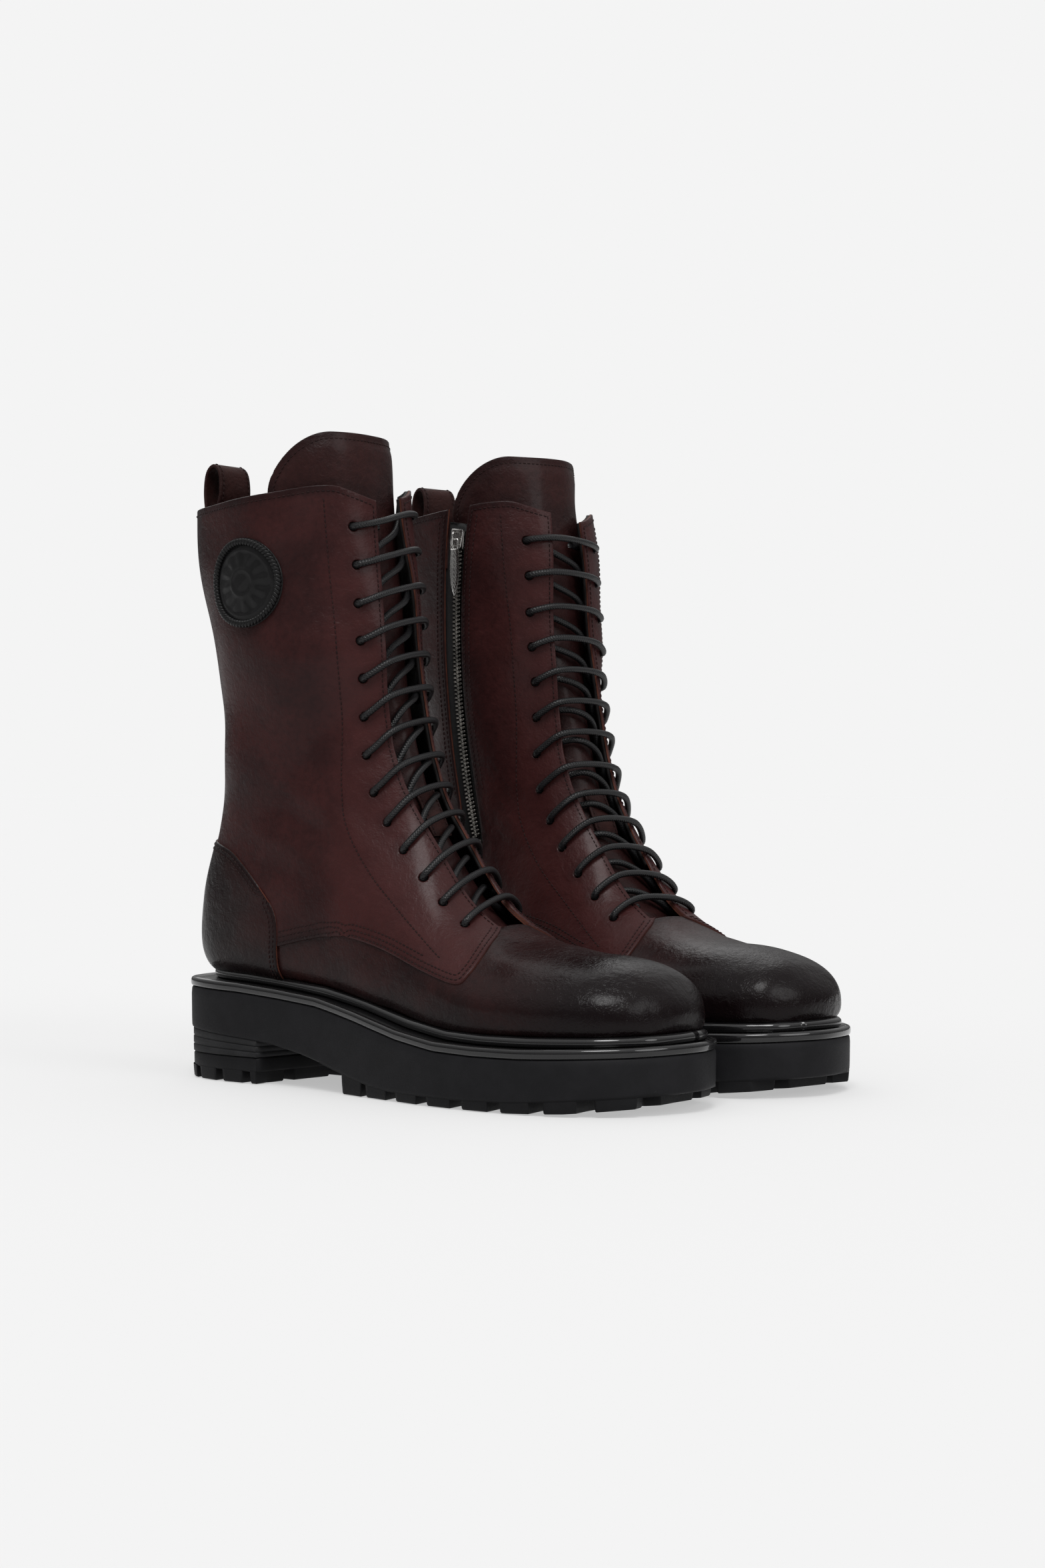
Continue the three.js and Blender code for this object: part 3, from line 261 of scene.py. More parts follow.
def front_angle(s, v):
    """Angle of the front of the upper at a distance v from its middle."""
    row = rows(RINGS, s)
    width = np.where(v > 0, row[..., 4], row[..., 5])
    share = np.clip(np.abs(v / width), 0, 1) ** (TOP_SQUARE / 2)
    return math.pi - np.arcsin(np.sign(v) * share)


def front(s, v, height, seed=0.0):
    """Points over the front of the upper."""
    s = np.asarray(s, float)
    v = np.asarray(v, float)
    return surf(s, front_angle(s, v), np.asarray(height, float), seed)[0]


def zip_point(down, out, up):
    """Point of the boot frame from a length down the zip, a distance out from its arc and across it."""
    angle = -np.asarray(down, float) / ZIP_RADIUS
    radial = ZIP_START * np.cos(angle)[..., None] + ZIP_SIDE * np.sin(angle)[..., None]
    reach = ZIP_RADIUS + np.asarray(out, float)
    return ZIP_CENTRE + radial * reach[..., None] + ZIP_AXIS * np.asarray(up, float)[..., None]


def zip_place(p):
    """Length down the zip and distance out from its arc."""
    q = p - ZIP_CENTRE
    q = q - (q @ ZIP_AXIS)[..., None] * ZIP_AXIS
    angle = np.arctan2(q @ ZIP_SIDE, q @ ZIP_START)
    return -angle * ZIP_RADIUS, np.linalg.norm(q, axis=-1) - ZIP_RADIUS


# ---------- mesh making ----------
MATERIALS = {}


def make(name, side, points, faces, material, body, slot, replaces=(), attrs=None,
         materials=None, face_slots=None):
    """Object from points in the boot frame and a list of arrays of faces."""
    points = np.asarray(points, float)
    world = to_world(points, side)
    loops = []
    totals = []
    for block in faces:
        block = np.asarray(block)
        if side == "left":
            block = block[:, ::-1]
        loops.append(block.ravel())
        totals.append(np.full(len(block), block.shape[1]))
    loops = np.concatenate(loops)
    totals = np.concatenate(totals)
    starts = np.concatenate([[0], np.cumsum(totals)[:-1]])
    mesh = bpy.data.meshes.new(f"{side}_{name}")
    mesh.vertices.add(len(world))
    mesh.vertices.foreach_set("co", world.ravel())
    mesh.loops.add(len(loops))
    mesh.loops.foreach_set("vertex_index", loops.astype(np.int32))
    mesh.polygons.add(len(totals))
    mesh.polygons.foreach_set("loop_start", starts.astype(np.int32))
    mesh.polygons.foreach_set("loop_total", totals.astype(np.int32))
    if face_slots is not None:
        mesh.polygons.foreach_set("material_index", np.asarray(face_slots, np.int32))
    mesh.polygons.foreach_set("use_smooth", np.ones(len(totals), bool))
    mesh.update()
    mesh.validate()
    at = mesh.attributes.new("bp", "FLOAT_VECTOR", "POINT")
    at.data.foreach_set("vector", points.ravel())
    for key, value in (attrs or {}).items():
        layer = mesh.attributes.new(key, "FLOAT", "POINT")
        layer.data.foreach_set("value", np.asarray(value, float).ravel())
    obj = bpy.data.objects.new(f"{side}_{name}", mesh)
    bpy.context.collection.objects.link(obj)
    for one in (materials or [material]):
        mesh.materials.append(MATERIALS[one])
    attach(obj, f"{side}_{body}")
    if replaces:
        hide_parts(*[f"{side}_{node}" for node in replaces])
    return obj


def grid_faces(m, n, wrap=False):
    i, j = np.meshgrid(np.arange(m - 1), np.arange(n if wrap else n - 1), indexing="ij")
    k = (j + 1) % n
    return np.stack([i * n + j, i * n + k, (i + 1) * n + k, (i + 1) * n + j], -1).reshape(-1, 4)


def fan_faces(tip, first, n):
    """Triangles from one point to a loop of n points."""
    j = np.arange(n)
    return np.stack([np.full(n, tip), first + j, first + (j + 1) % n], -1)


class Pile:
    """Several small closed shapes gathered into one mesh."""

    def __init__(self):
        self.points = []
        self.faces = []
        self.count = 0
        self.extra = []

    def add(self, points, faces, extra=None):
        points = np.asarray(points, float).reshape(-1, 3)
        for block in faces:
            self.faces.append(np.asarray(block) + self.count)
        self.points.append(points)
        self.extra.append(np.zeros(len(points)) if extra is None else np.asarray(extra).ravel())
        self.count += len(points)

    def loft(self, loops, caps=True, extra=None):
        """Closed shape through loops of points (rows, sides, 3)."""
        loops = np.asarray(loops, float)
        m, n = loops.shape[:2]
        points = loops.reshape(-1, 3)
        faces = [grid_faces(m, n, wrap=True)[:, ::-1]]
        if caps:
            points = np.vstack([points, loops[0].mean(0), loops[-1].mean(0)])
            faces.append(fan_faces(m * n, 0, n)[:, ::-1])
            faces.append(fan_faces(m * n + 1, (m - 1) * n, n)[:, [0, 2, 1]])
            if extra is not None:
                extra = np.concatenate([np.ravel(extra), np.ravel(extra)[[0, -1]]])
        self.add(points, faces, extra)

    def object(self, name, side, material, body, slot, replaces=(), key="edge"):
        return make(name, side, np.vstack(self.points), self.faces, material, body, slot, replaces,
                    {key: np.concatenate(self.extra)})


def split(prm, faces, value):
    """Cuts a triangle mesh along value = 0. Returns new vertices and the faces on each side."""
    value = np.where(np.abs(value) < 1e-6, 1e-6, value)
    above = value > 0
    count = above[faces].sum(1)
    inner = faces[count == 3]
    outer = faces[count == 0]
    mixed = (count == 1) | (count == 2)
    m = faces[mixed]
    if not len(m):
        return prm, inner, outer
    lone_above = count[mixed] == 1
    odd = np.where(lone_above[:, None], above[m], ~above[m])
    k = odd.argmax(1)
    row = np.arange(len(m))
    a, b, c = m[row, k], m[row, (k + 1) % 3], m[row, (k + 2) % 3]
    edges = np.sort(np.vstack([np.stack([a, b], 1), np.stack([a, c], 1)]), axis=1)
    unique, inverse = np.unique(edges, axis=0, return_inverse=True)
    inverse = inverse.ravel()
    f = value[unique[:, 0]] / (value[unique[:, 0]] - value[unique[:, 1]])
    fresh = prm[unique[:, 0]] * (1 - f[:, None]) + prm[unique[:, 1]] * f[:, None]
    ids = len(prm) + inverse
    ab, ac = ids[:len(m)], ids[len(m):]
    tip = np.stack([a, ab, ac], 1)
    rest = np.vstack([np.stack([ab, b, c], 1), np.stack([ab, c, ac], 1)])
    twice = np.concatenate([lone_above, lone_above])
    inner = np.vstack([inner, tip[lone_above], rest[~twice]])
    outer = np.vstack([outer, tip[~lone_above], rest[twice]])
    return np.vstack([prm, fresh]), inner, outer


def compact(prm, faces):
    """Drops the rows that no face uses."""
    used, inverse = np.unique(faces, return_inverse=True)
    return prm[used], inverse.reshape(faces.shape)


def border(faces):
    """Directed edges that belong to one triangle only."""
    directed = np.vstack([faces[:, [0, 1]], faces[:, [1, 2]], faces[:, [2, 0]]])
    key = np.sort(directed, axis=1)
    _, first, counts = np.unique(key, axis=0, return_index=True, return_counts=True)
    return directed[first[counts == 1]]


def place(prm, depth=0.0):
    """Boot frame points of rows of station and angle, moved out from the upper by depth."""
    p = upper(prm[:, 0], prm[:, 1])
    return p + normal(prm[:, 0], prm[:, 1]) * depth if depth else p


def cut(prm, faces, fields, depth=0.0):
    """What is left of a mesh where every field is above 0."""
    for field, _ in fields:
        prm, faces, _ = split(prm, faces, field(place(prm, depth)))
        prm, faces = compact(prm, faces)
    return prm, faces


def smooth_line(points, steps=8):
    table = np.array(points, float)
    return rows(table, np.linspace(0, len(table) - 1, (len(table) - 1) * steps + 1))


def side_distance(p, line):
    """Signed side view distance in mm, positive to the left of the line."""
    q = p[:, 1:3]
    best = np.full(len(q), 1e9)
    sign = np.ones(len(q))
    for k in range(len(line) - 1):
        a, b = line[k], line[k + 1]
        ab = b - a
        share = ((q - a) @ ab) / (ab @ ab)
        low = -1e9 if k == 0 else 0.0
        high = 1e9 if k == len(line) - 2 else 1.0
        share = np.clip(share, low, high)
        away = q - (a + share[:, None] * ab)
        distance = (away ** 2).sum(1)
        cross = ab[0] * (q[:, 1] - a[1]) - ab[1] * (q[:, 0] - a[0])
        closer = distance < best - 1e-9
        best = np.where(closer, distance, best)
        sign = np.where(closer, np.sign(cross), sign)
    return np.sqrt(best) * sign


LINES = {name: smooth_line(points) for name, points in {
    "quarter": QUARTER_FRONT, "counter": COUNTER_EDGE, "collar": COLLAR,
    "collar_inner": COLLAR_INNER, "eyestay": EYESTAY}.items()}
arc = zip_point(np.linspace(-30, ZIP_LENGTH, 40), np.zeros(40), np.zeros(40))
LINES["behind"] = np.vstack([arc[:, 1:3], smooth_line(BACK_SEAM, 4)])


def collar_field(p):
    outer_side = side_distance(p, LINES["collar"])
    inner_side = side_distance(p, LINES["collar_inner"])
    share = np.clip(p[:, 0] / 16 + 0.5, 0, 1)
    return -(inner_side + (outer_side - inner_side) * share)


def quarter_field(p):
    return -side_distance(p, LINES["quarter"])


def counter_field(p):
    return -side_distance(p, LINES["counter"])


def throat_field(p):
    """Positive outside the opening between the facings."""
    gap = np.interp(p[:, 2], GAP_Z, GAP_V)
    beyond = np.maximum(np.abs(p[:, 0]) - gap, p[:, 1] - THROAT_FOOT)
    return beyond + np.where(p[:, 1] < THROAT_BACK, 90, 0)


def slot_field(p):
    """Positive outside the zip's slot."""
    down, out = zip_place(p)
    return np.maximum(np.abs(out) - ZIP_GAP, down - ZIP_LENGTH - 2)


def behind_field(p):
    """Positive in front of the zip's centre line and the seam below it."""
    return side_distance(p, LINES["behind"])


# ---------- eyelets ----------

def line_of_eyelets(sign, lift):
    """Stations and distances across of the rows on one side, moved up the facing by lift."""
    s = np.linspace(16.2, 4.6, 900)
    path = front(s, np.interp(s, [5, 8, 10, 16], [26.5, 25, 24, 24.2]) * sign, np.zeros(900))
    steps = lengths(path)
    found = []
    for _, u, z in HOLES_OUTER:
        k = ((path[:, 1] - u) ** 2 + (path[:, 2] - z) ** 2).argmin()
        found.append(float(np.interp(steps[k] - lift, steps, s)))
    return found, [across * sign for across, _, _ in HOLES_OUTER]


def hole_field_of(places):
    def field(p):
        best = np.full(len(p), 1e9)
        for centre in places:
            best = np.minimum(best, np.linalg.norm(p - centre, axis=1))
        return best - HOLE_R
    return field


# ---------- stitches ----------
STITCH_T = np.array([-0.5, -0.42, -0.2, 0.2, 0.42, 0.5])
STITCH_R = np.array([0.25, 0.8, 1.0, 1.0, 0.8, 0.25])
STITCH_UP = np.array([-0.16, 0.02, 0.1, 0.1, 0.02, -0.16])
STITCH_PITCH = 2.5
STITCH_LENGTH = 1.9
STITCH_RADIUS = 0.3
STITCH_SIDES = 6


def add_stitches(pile, points, normals):
    """A row of short thread stitches along a line of surface points."""
    if len(points) < 3:
        return
    steps = lengths(points)
    total = steps[-1]
    count = int(total / STITCH_PITCH)
    if count < 1:
        return
    centres = (np.arange(count) + 0.5) * total / count
    at = centres[:, None] + STITCH_T[None, :] * STITCH_LENGTH
    pos = sample(at, steps, points)
    up = unit(sample(at, steps, normals))
    along = unit(pos[:, -1:] - pos[:, :1])
    across = unit(np.cross(np.broadcast_to(along, up.shape), up))
    phi = np.arange(STITCH_SIDES) / STITCH_SIDES * 2 * math.pi
    r = (STITCH_R * STITCH_RADIUS)[None, :, None, None]
    ring = across[:, :, None, :] * np.cos(phi)[None, None, :, None] * r \
        + up[:, :, None, :] * np.sin(phi)[None, None, :, None] * r
    lift = up[:, :, None, :] * (STITCH_UP * 1.1 + 0.04)[None, :, None, None]
    loops = pos[:, :, None, :] + ring + lift
    rings = len(STITCH_T)
    last = (rings - 1) * STITCH_SIDES
    walls = grid_faces(rings, STITCH_SIDES, wrap=True)
    caps = np.array([np.arange(STITCH_SIDES)[::-1], last + np.arange(STITCH_SIDES)])
    offset = (np.arange(count) * rings * STITCH_SIDES)[:, None, None]
    pile.add(loops, [(walls[None] + offset).reshape(-1, 4),
                     (caps[None] + offset).reshape(-1, STITCH_SIDES)])


def contour(prm, faces, value, keep):
    """Chains of parameter rows along value = 0 where keep(rows) is true."""
    value = np.where(np.abs(value) < 1e-7, 1e-7, value)
    above = value > 0
    count = above[faces].sum(1)
    m = faces[(count == 1) | (count == 2)]
    if not len(m):
        return []
    pairs = np.stack([m, np.roll(m, -1, axis=1)], -1)
    crossing = above[pairs[..., 0]] != above[pairs[..., 1]]
    edges = np.sort(pairs[crossing].reshape(-1, 2), axis=1)
    unique, inverse = np.unique(edges, axis=0, return_inverse=True)
    links = inverse.reshape(-1, 2)
    f = value[unique[:, 0]] / (value[unique[:, 0]] - value[unique[:, 1]])
    points = prm[unique[:, 0]] * (1 - f[:, None]) + prm[unique[:, 1]] * f[:, None]
    good = keep(points)
    near = {}
    for a, b in links:
        if good[a] and good[b]:
            near.setdefault(a, []).append(b)
            near.setdefault(b, []).append(a)
    chains = []
    seen = set()
    starts = [k for k in near if len(near[k]) == 1] + list(near)
    for start in starts:
        if start in seen:
            continue
        chain = [start]
        seen.add(start)
        while True:
            ahead = [k for k in near[chain[-1]] if k not in seen]
            if not ahead:
                break
            chain.append(ahead[0])
            seen.add(ahead[0])
        if len(chain) > 6:
            chains.append(points[chain])
    return chains


def thin(chain, seed, height_of, gap=1.0):
    """Even points and normals along a chain of rows of station and angle."""
    p, n = surf(chain[:, 0], chain[:, 1], np.full(len(chain), height_of), seed)
    steps = lengths(p)
    at = np.linspace(0, steps[-1], max(int(steps[-1] / gap), 3))
    q = sample(at, steps, p)
    m = unit(sample(at, steps, n))
    for _ in range(2):
        q[1:-1] = (q[:-2] + 2 * q[1:-1] + q[2:]) / 4
    return q, m


# ---------- leather panels ----------

def panel_grid(s0, s1, t0, t1, per_station, columns):
    ns = int((s1 - s0) * per_station) + 2
    s = np.linspace(s0, s1, ns)
    t = np.radians(np.linspace(t0, t1, columns))
    S, T = np.meshgrid(s, t, indexing="ij")
    quads = grid_faces(ns, columns)
    even = (np.arange(len(quads)) % 2 == 0)[:, None]
    one = np.where(even, quads[:, [0, 1, 2]], quads[:, [0, 1, 3]])
    two = np.where(even, quads[:, [0, 2, 3]], quads[:, [1, 2, 3]])
    return np.stack([S.ravel(), T.ravel()], -1), np.vstack([one, two])


def edge_distance(p, value, rim_vertices):
    """Distance of points from the rim that one field has cut, up to a cap."""
    distance = np.full(len(p), EDGE_CAP)
    on = rim_vertices[np.abs(value[rim_vertices]) < ON_EDGE]
    if len(on):
        tree = kdtree.KDTree(len(on))
        for i, k in enumerate(on):
            tree.insert(p[k], i)
        tree.balance()
        for k in np.nonzero(np.abs(value) < EDGE_FAR)[0]:
            distance[k] = min(tree.find(p[k])[2], EDGE_CAP)
        distance[on] = 0.0
    return distance


def panel(side, name, grid, fields, base, slot, materials, stitch_rows, pile, seed,
          thick=LEATHER, body="boot", extra_lines=(), depth=0.0, back=False, puff=0.0):
    """A leather piece cut from the upper by fields, with rounded edges, a raw rim and stitches."""
    prm, faces = cut(*grid, fields, depth)
    rim_vertices = np.unique(border(faces))
    p = place(prm, depth)
    columns = [edge_distance(p, field(p), rim_vertices) if is_edge else np.full(len(p), EDGE_CAP)
               for field, is_edge in fields]
    prm = np.hstack([prm, np.array(columns).T])
    for level in (EDGE_STEP, EDGE_ROUND):
        prm, inner, outer = split(prm, faces, prm[:, 2:].min(1) - level)
        faces = np.vstack([inner, outer])
    nearest = np.clip(prm[:, 2:].min(1), 0, None)
    short = np.clip(EDGE_ROUND - nearest, 0, EDGE_ROUND)
    drop = EDGE_ROUND - np.sqrt(np.clip(EDGE_ROUND ** 2 - short ** 2, 0, None))
    padding = puff * np.clip((nearest - PADDING_FROM) / PADDING_OVER, 0, 1) ** 0.6
    top, n = surf(prm[:, 0], prm[:, 1], base - drop + padding, seed)
    rim_edges = border(faces)
    ids, inverse = np.unique(rim_edges, return_inverse=True)
    a, b = inverse.reshape(rim_edges.shape).T
    start = len(top)
    count = len(ids)
    side_depth = thick - EDGE_ROUND
    points = [top, top[ids], top[ids] - n[ids] * side_depth]
    edge = [nearest, np.zeros(2 * count)]
    blocks = [faces, np.stack([start + b, start + a, start + count + a, start + count + b], -1)]
    face_slots = [np.zeros(len(faces)), np.ones(len(rim_edges))]
    if back:
        points.append(top - n * (side_depth + padding[:, None]))
        edge.append(nearest)
        blocks.append(faces[:, ::-1] + start + 2 * count)
        face_slots.append(np.zeros(len(faces)))
    make(name, side, np.vstack(points), blocks, None, body, slot, (name,), {"edge": np.concatenate(edge)},
         materials=materials, face_slots=np.concatenate(face_slots))

    def stitch(value, wanted):
        for chain in contour(prm, faces, value, wanted):
            add_stitches(pile, *thin(chain, seed, base))

    for column, offset, wanted in stitch_rows:
        stitch(prm[:, 2 + column] - offset,
               lambda q: wanted(place(q, depth)) & (q[:, 2:].min(1) > offset - 0.35))
    for field, wanted in extra_lines:
        stitch(field(place(prm)), lambda q: wanted(place(q)) & (q[:, 2:].min(1) > 1.4))


def everywhere(p):
    return np.ones(len(p), bool)


def by_zip(p):
    return zip_place(p)[0] < ZIP_STITCH_END


def above_welt(p):
    return p[:, 2] > height(WELT_TOP, p[:, 1]) + 1


def low_front(p):
    return (p[:, 1] > LOW_FRONT_U) & (p[:, 2] < LOW_FRONT_Z)


def below_seam(p):
    return p[:, 2] < SEAM_TOP


def under_counter(lap):
    return lambda p: lap - counter_field(p), False


def eyestay_line(highest):
    """The facing's second row of stitches, up to a height."""
    return (lambda p: side_distance(p, LINES["eyestay"]),
            lambda p: (p[:, 2] < highest) & (p[:, 1] < EYESTAY_FOOT))


def back_line(v):
    """A row of stitches up the back, v out from its middle."""
    return (lambda p: p[:, 0] - v,
            lambda p: (p[:, 1] < BACK_U) & (p[:, 2] > BACK_Z[0]) & (p[:, 2] < BACK_Z[1]))


def build_toe_tip(side, seed):
    """The very tip of the toe, a shallow dome inside the vamp's first ring."""
    turn = np.linspace(0, 2 * math.pi, TIP_SIDES, endpoint=False)
    ring, _ = surf(np.full(TIP_SIDES, TIP), turn, np.full(TIP_SIDES, VAMP_H), seed)
    middle = ring.mean(0)
    bulge = np.array([0, TIP_BULGE, 0])
    share = np.array([1, 0.95, 0.88, 0.79, 0.68, 0.55, 0.42, 0.28, 0.13])[:, None, None]
    dome = middle + (ring - middle) * share + bulge * (1 - share ** 2)
    count = len(dome) * TIP_SIDES
    walls = grid_faces(len(dome), TIP_SIDES, wrap=True)
    fan = fan_faces(count, count - TIP_SIDES, TIP_SIDES)
    make("vamp_tip", side, np.vstack([dome.reshape(-1, 3), middle + bulge]),
         [walls[:, ::-1], fan[:, ::-1]], "vamp", "boot", "upper_leather", (),
         {"edge": np.full(count + 1, EDGE_CAP)})


def build_lining(side, seed):
    """Seen inside the collar, in the throat and beside the zip."""
    shape = [(lambda p: collar_field(p) - 0.3, True), (lambda p: throat_field(p) - 0.25, True)]
    beside_zip = (lambda p: slot_field(p) - 3.5, True)
    for name, t0, fields, nodes in (
            ("lining_outer", 0, shape, ("lining_outer",)),
            ("lining_inner", 180, shape + [beside_zip], ("lining_inner_front", "lining_inner_rear"))):
        prm, faces = cut(*panel_grid(6.6, 16.5, t0, t0 + 180, 12, 80), fields)
        count = len(prm)
        outside, inside = [surf(prm[:, 0], prm[:, 1], np.full(count, depth), seed)[0]
                           for depth in (LINING_OUT, LINING_IN)]
        a, b = border(faces).T
        rim = np.stack([b, a, count + a, count + b], -1)
        make(name, side, np.vstack([outside, inside]), [faces, faces[:, ::-1] + count, rim], "lining",
             "boot", "lining_leather", nodes, {"edge": np.full(2 * count, EDGE_CAP)})


def build_upper(side, seed, inner_lift):
    pile = Pile()
    rows_found = line_of_eyelets(1.0, 0.0), line_of_eyelets(-1.0, inner_lift)
    outer_places, inner_places = [[front(s, v, 0.0) for s, v in zip(*found)] for found in rows_found]
    shaft = ["shaft", "raw_edge"]

    # vamp: from the toe back under the quarters
    panel(side, "vamp", panel_grid(TIP, 9.4, 0.02, 359.98, 19, 250), [
        (lambda p: -quarter_field(p) + VAMP_UNDER_QUARTER, False),
        under_counter(VAMP_UNDER_COUNTER),
        (throat_field, True),
    ], VAMP_H, "upper_leather", ["vamp", "raw_edge"], [], pile, seed)
    build_toe_tip(side, seed)
    panel(side, "heel_counter", panel_grid(7.2, 12.7, -172, 172, 24, 230), [(counter_field, True)],
          COUNTER_H, "toe_counter_leather", ["counter", "raw_edge"],
          [(0, 2.0, above_welt), (0, 4.3, above_welt)], pile, seed)

    # the quarters' front edges: collar, foot, counter, throat and eyelets
    def front_fields(places):
        return [(collar_field, True), (quarter_field, True), under_counter(QUARTER_UNDER_COUNTER),
                (throat_field, True), (hole_field_of(places), True)]

    front_rows = [
        (0, 3.0, everywhere), (1, 1.9, low_front), (1, 4.4, low_front),
        (1, 7.0, lambda p: low_front(p) & (p[:, 1] < 176)), (3, 2.4, lambda p: p[:, 1] < 196)]
    panel(side, "quarter_outer", panel_grid(4.2, 16.5, 0, 180, 24, 130), front_fields(outer_places),
          QUARTER_H, "upper_leather", shaft, front_rows, pile, seed,
          extra_lines=(eyestay_line(292), back_line(2.0)))
    panel(side, "quarter_inner_front", panel_grid(4.2, 16.5, 180, 318, 24, 110),
          front_fields(inner_places) + [(lambda p: behind_field(p) - 0.2, True), (slot_field, True)],
          QUARTER_H, "upper_leather", shaft,
          front_rows + [(6, 2.2, by_zip), (6, 5.4, by_zip), (5, 2.0, below_seam)], pile, seed,
          extra_lines=(eyestay_line(294),))
    panel(side, "quarter_inner_rear", panel_grid(7.0, 16.5, 232, 360, 24, 110), [
        (collar_field, True),
        under_counter(QUARTER_UNDER_COUNTER),
        (lambda p: -behind_field(p) - 0.2, True),
        (slot_field, True),
    ], QUARTER_H, "upper_leather", shaft, [
        (0, 3.0, everywhere), (3, 2.2, by_zip), (3, 5.4, by_zip), (2, 2.0, below_seam),
    ], pile, seed, extra_lines=(back_line(-2.0),))
    pile.object("stitching", side, "thread", "boot", "upper_leather")
    build_lining(side, seed)
    return rows_found


# ---------- straps, tongue and lace ----------

def rounded_section(half, thick, n=9):
    """Closed section of a strap: points across and up."""
    r = thick / 2
    flat = np.linspace(-(half - r), half - r, n)
    phi = np.linspace(math.pi / 2, -math.pi / 2, 7)[1:-1]
    top = [(x, thick / 2) for x in flat]
    right = [(half - r + r * math.cos(a), thick / 2 * math.sin(a)) for a in phi]
    low = [(x, -thick / 2) for x in flat[::-1]]
    left = [(-(half - r) - r * math.cos(a), -thick / 2 * math.sin(a)) for a in phi]
    return np.array(top + right + low + left)


def strap(pile, centres, across, normals, half, thick, stitches=None, inset=2.2):
    """A strap swept along centres; half may change along it."""
    half = np.broadcast_to(half, (len(centres),))
    loops = []
    extra = []
    for c, a, n, h in zip(centres, across, normals, half):
        section = rounded_section(h, thick)
        loops.append(c + section[:, :1] * a + section[:, 1:] * n)
        extra.append(h - np.abs(section[:, 0]))
    for end, order in ((0, 1), (-1, -1)):
        tip = loops[end].mean(0) + (loops[end] - loops[end].mean(0)) * 0.86
        push = unit(loops[end].mean(0) - loops[end + order].mean(0)) * thick * 0.3
        if end == 0:
            loops.insert(0, tip + push)
            extra.insert(0, extra[0] * 0)
        else:
            loops.append(tip + push)
            extra.append(extra[-1] * 0)
    pile.loft(loops, extra=np.array(extra))
    if stitches is not None:
        for sign in (-1, 1):
            line = centres + across * ((half - inset) * sign)[:, None] + normals * (thick / 2)
            add_stitches(stitches, line, normals)


def side_strap(line, steps):
    """Centres, across and outward normals of a strap whose line lies in the side view."""
    path = smooth_line(line, steps)
    tangent = unit(np.gradient(path, axis=0))
    centres = np.stack([np.zeros(len(path)), path[:, 0], path[:, 1]], -1)
    across = np.tile([1.0, 0.0, 0.0], (len(path), 1))
    normals = np.stack([np.zeros(len(path)), -tangent[:, 1], tangent[:, 0]], -1)
    return centres, across, normals


def back_at(z, height):
    s = np.linspace(9, 16.6, 400)
    p, _ = surf(s, np.full(400, 1e-4), np.full(400, height))
    return float(np.interp(z, p[:, 2], p[:, 1]))


def build_straps(side):
    thread = Pile()

    # loop over the back of the collar, from outside up, over and down inside
    off = QUARTER_H + 1.1
    top = back_at(291, off)
    centres, across, normals = side_strap([
        (back_at(265, off), 265), (back_at(278, off), 278), (back_at(289, off), 289),
        (top - 1.6, 303), (top - 0.4, 313.2), (top + 4, 317), (top + 8.4, 313), (top + 9.2, 302),
        (back_at(289, -4.2), 289), (back_at(273, -4.2), 273)], 6)
    body = Pile()
    width = np.interp(centres[:, 2], [262, 290, 317], [12, 12, 11.2])
    strap(body, centres, across, normals, width, 1.8, thread, 2.0)
    body.object("pull_loop", side, "strap", "boot", "strap_leather", ("pull_loop",))

    # keeper, bowed out between its ends
    off = COUNTER_H * 0.2 + 1.2
    foot = 130.5
    centres, across, normals = side_strap([
        (back_at(foot + rise, off) - bow, foot + rise)
        for rise, bow in ((0, 0), (4.5, 0.3), (13, 5.0), (21.5, 0.3), (26, 0))], 8)
    keeper = Pile()
    strap(keeper, centres, across, normals, 5.6, 1.7)
    keeper.object("back_keeper", side, "strap", "boot", "strap_leather", ("back_keeper",))
    thread.object("strap_stitching", side, "thread", "boot", "strap_leather")


def tongue_field(p):
    """Positive inside the tongue's outline."""
    z = p[:, 2]
    half = np.interp(z, [60, 150, 285], [25, 25, 57])
    behind = p[:, 1] - np.interp(z, [60, 96, 150, 240, 300, 360], [204, 150, 104, 86, 68, 62])
    reach = np.abs(p[:, 0]) + 0.5 * np.maximum(108 - p[:, 1], 0)
    a = reach - (TONGUE_HALF - TONGUE_ROUND)
    b = z - (TONGUE_TOP - TONGUE_ROUND)
    corner = TONGUE_ROUND - np.hypot(np.maximum(a, 0), np.maximum(b, 0))
    top = np.where((a > 0) & (b > 0), corner, TONGUE_TOP - z)
    return np.minimum(np.minimum(half - reach, behind), top)


def build_tongue(side, seed, loop_station):
    thread = Pile()
    panel(side, "tongue", panel_grid(5.5, 18.4, 58, 302, 14, 190), [(tongue_field, True)],
          -TONGUE_DEPTH, "tongue_leather", ["tongue", "raw_edge"], [(0, 3.6, lambda p: p[:, 2] > 180)],
          thread, seed, thick=2.6, body="tongue_body", depth=-TONGUE_DEPTH, back=True, puff=0.8)
    # short strap across the tongue
    strap_s = np.linspace(loop_station - 0.42, loop_station + 0.42, 9)
    strap_h = -TONGUE_DEPTH + 1.5 + 0.8 * np.cos(np.linspace(-1.5, 1.5, 9))
    centres = front(strap_s, np.full(9, 1e-4), strap_h, seed)
    tangent = unit(np.gradient(centres, axis=0))
    across = np.tile([1.0, 0.0, 0.0], (9, 1))
    normals = unit(np.cross(across, tangent))
    normals *= np.sign(normals[:, 1:2] + 1e-9)
    loop = Pile()
    strap(loop, centres, across, normals, 7.5, 1.4, thread, 1.7)
    loop.object("tongue_lace_loop", side, "strap", "tongue_body", "strap_leather", ("tongue_lace_loop",))
    thread.object("tongue_stitching", side, "thread", "tongue_body", "strap_leather")


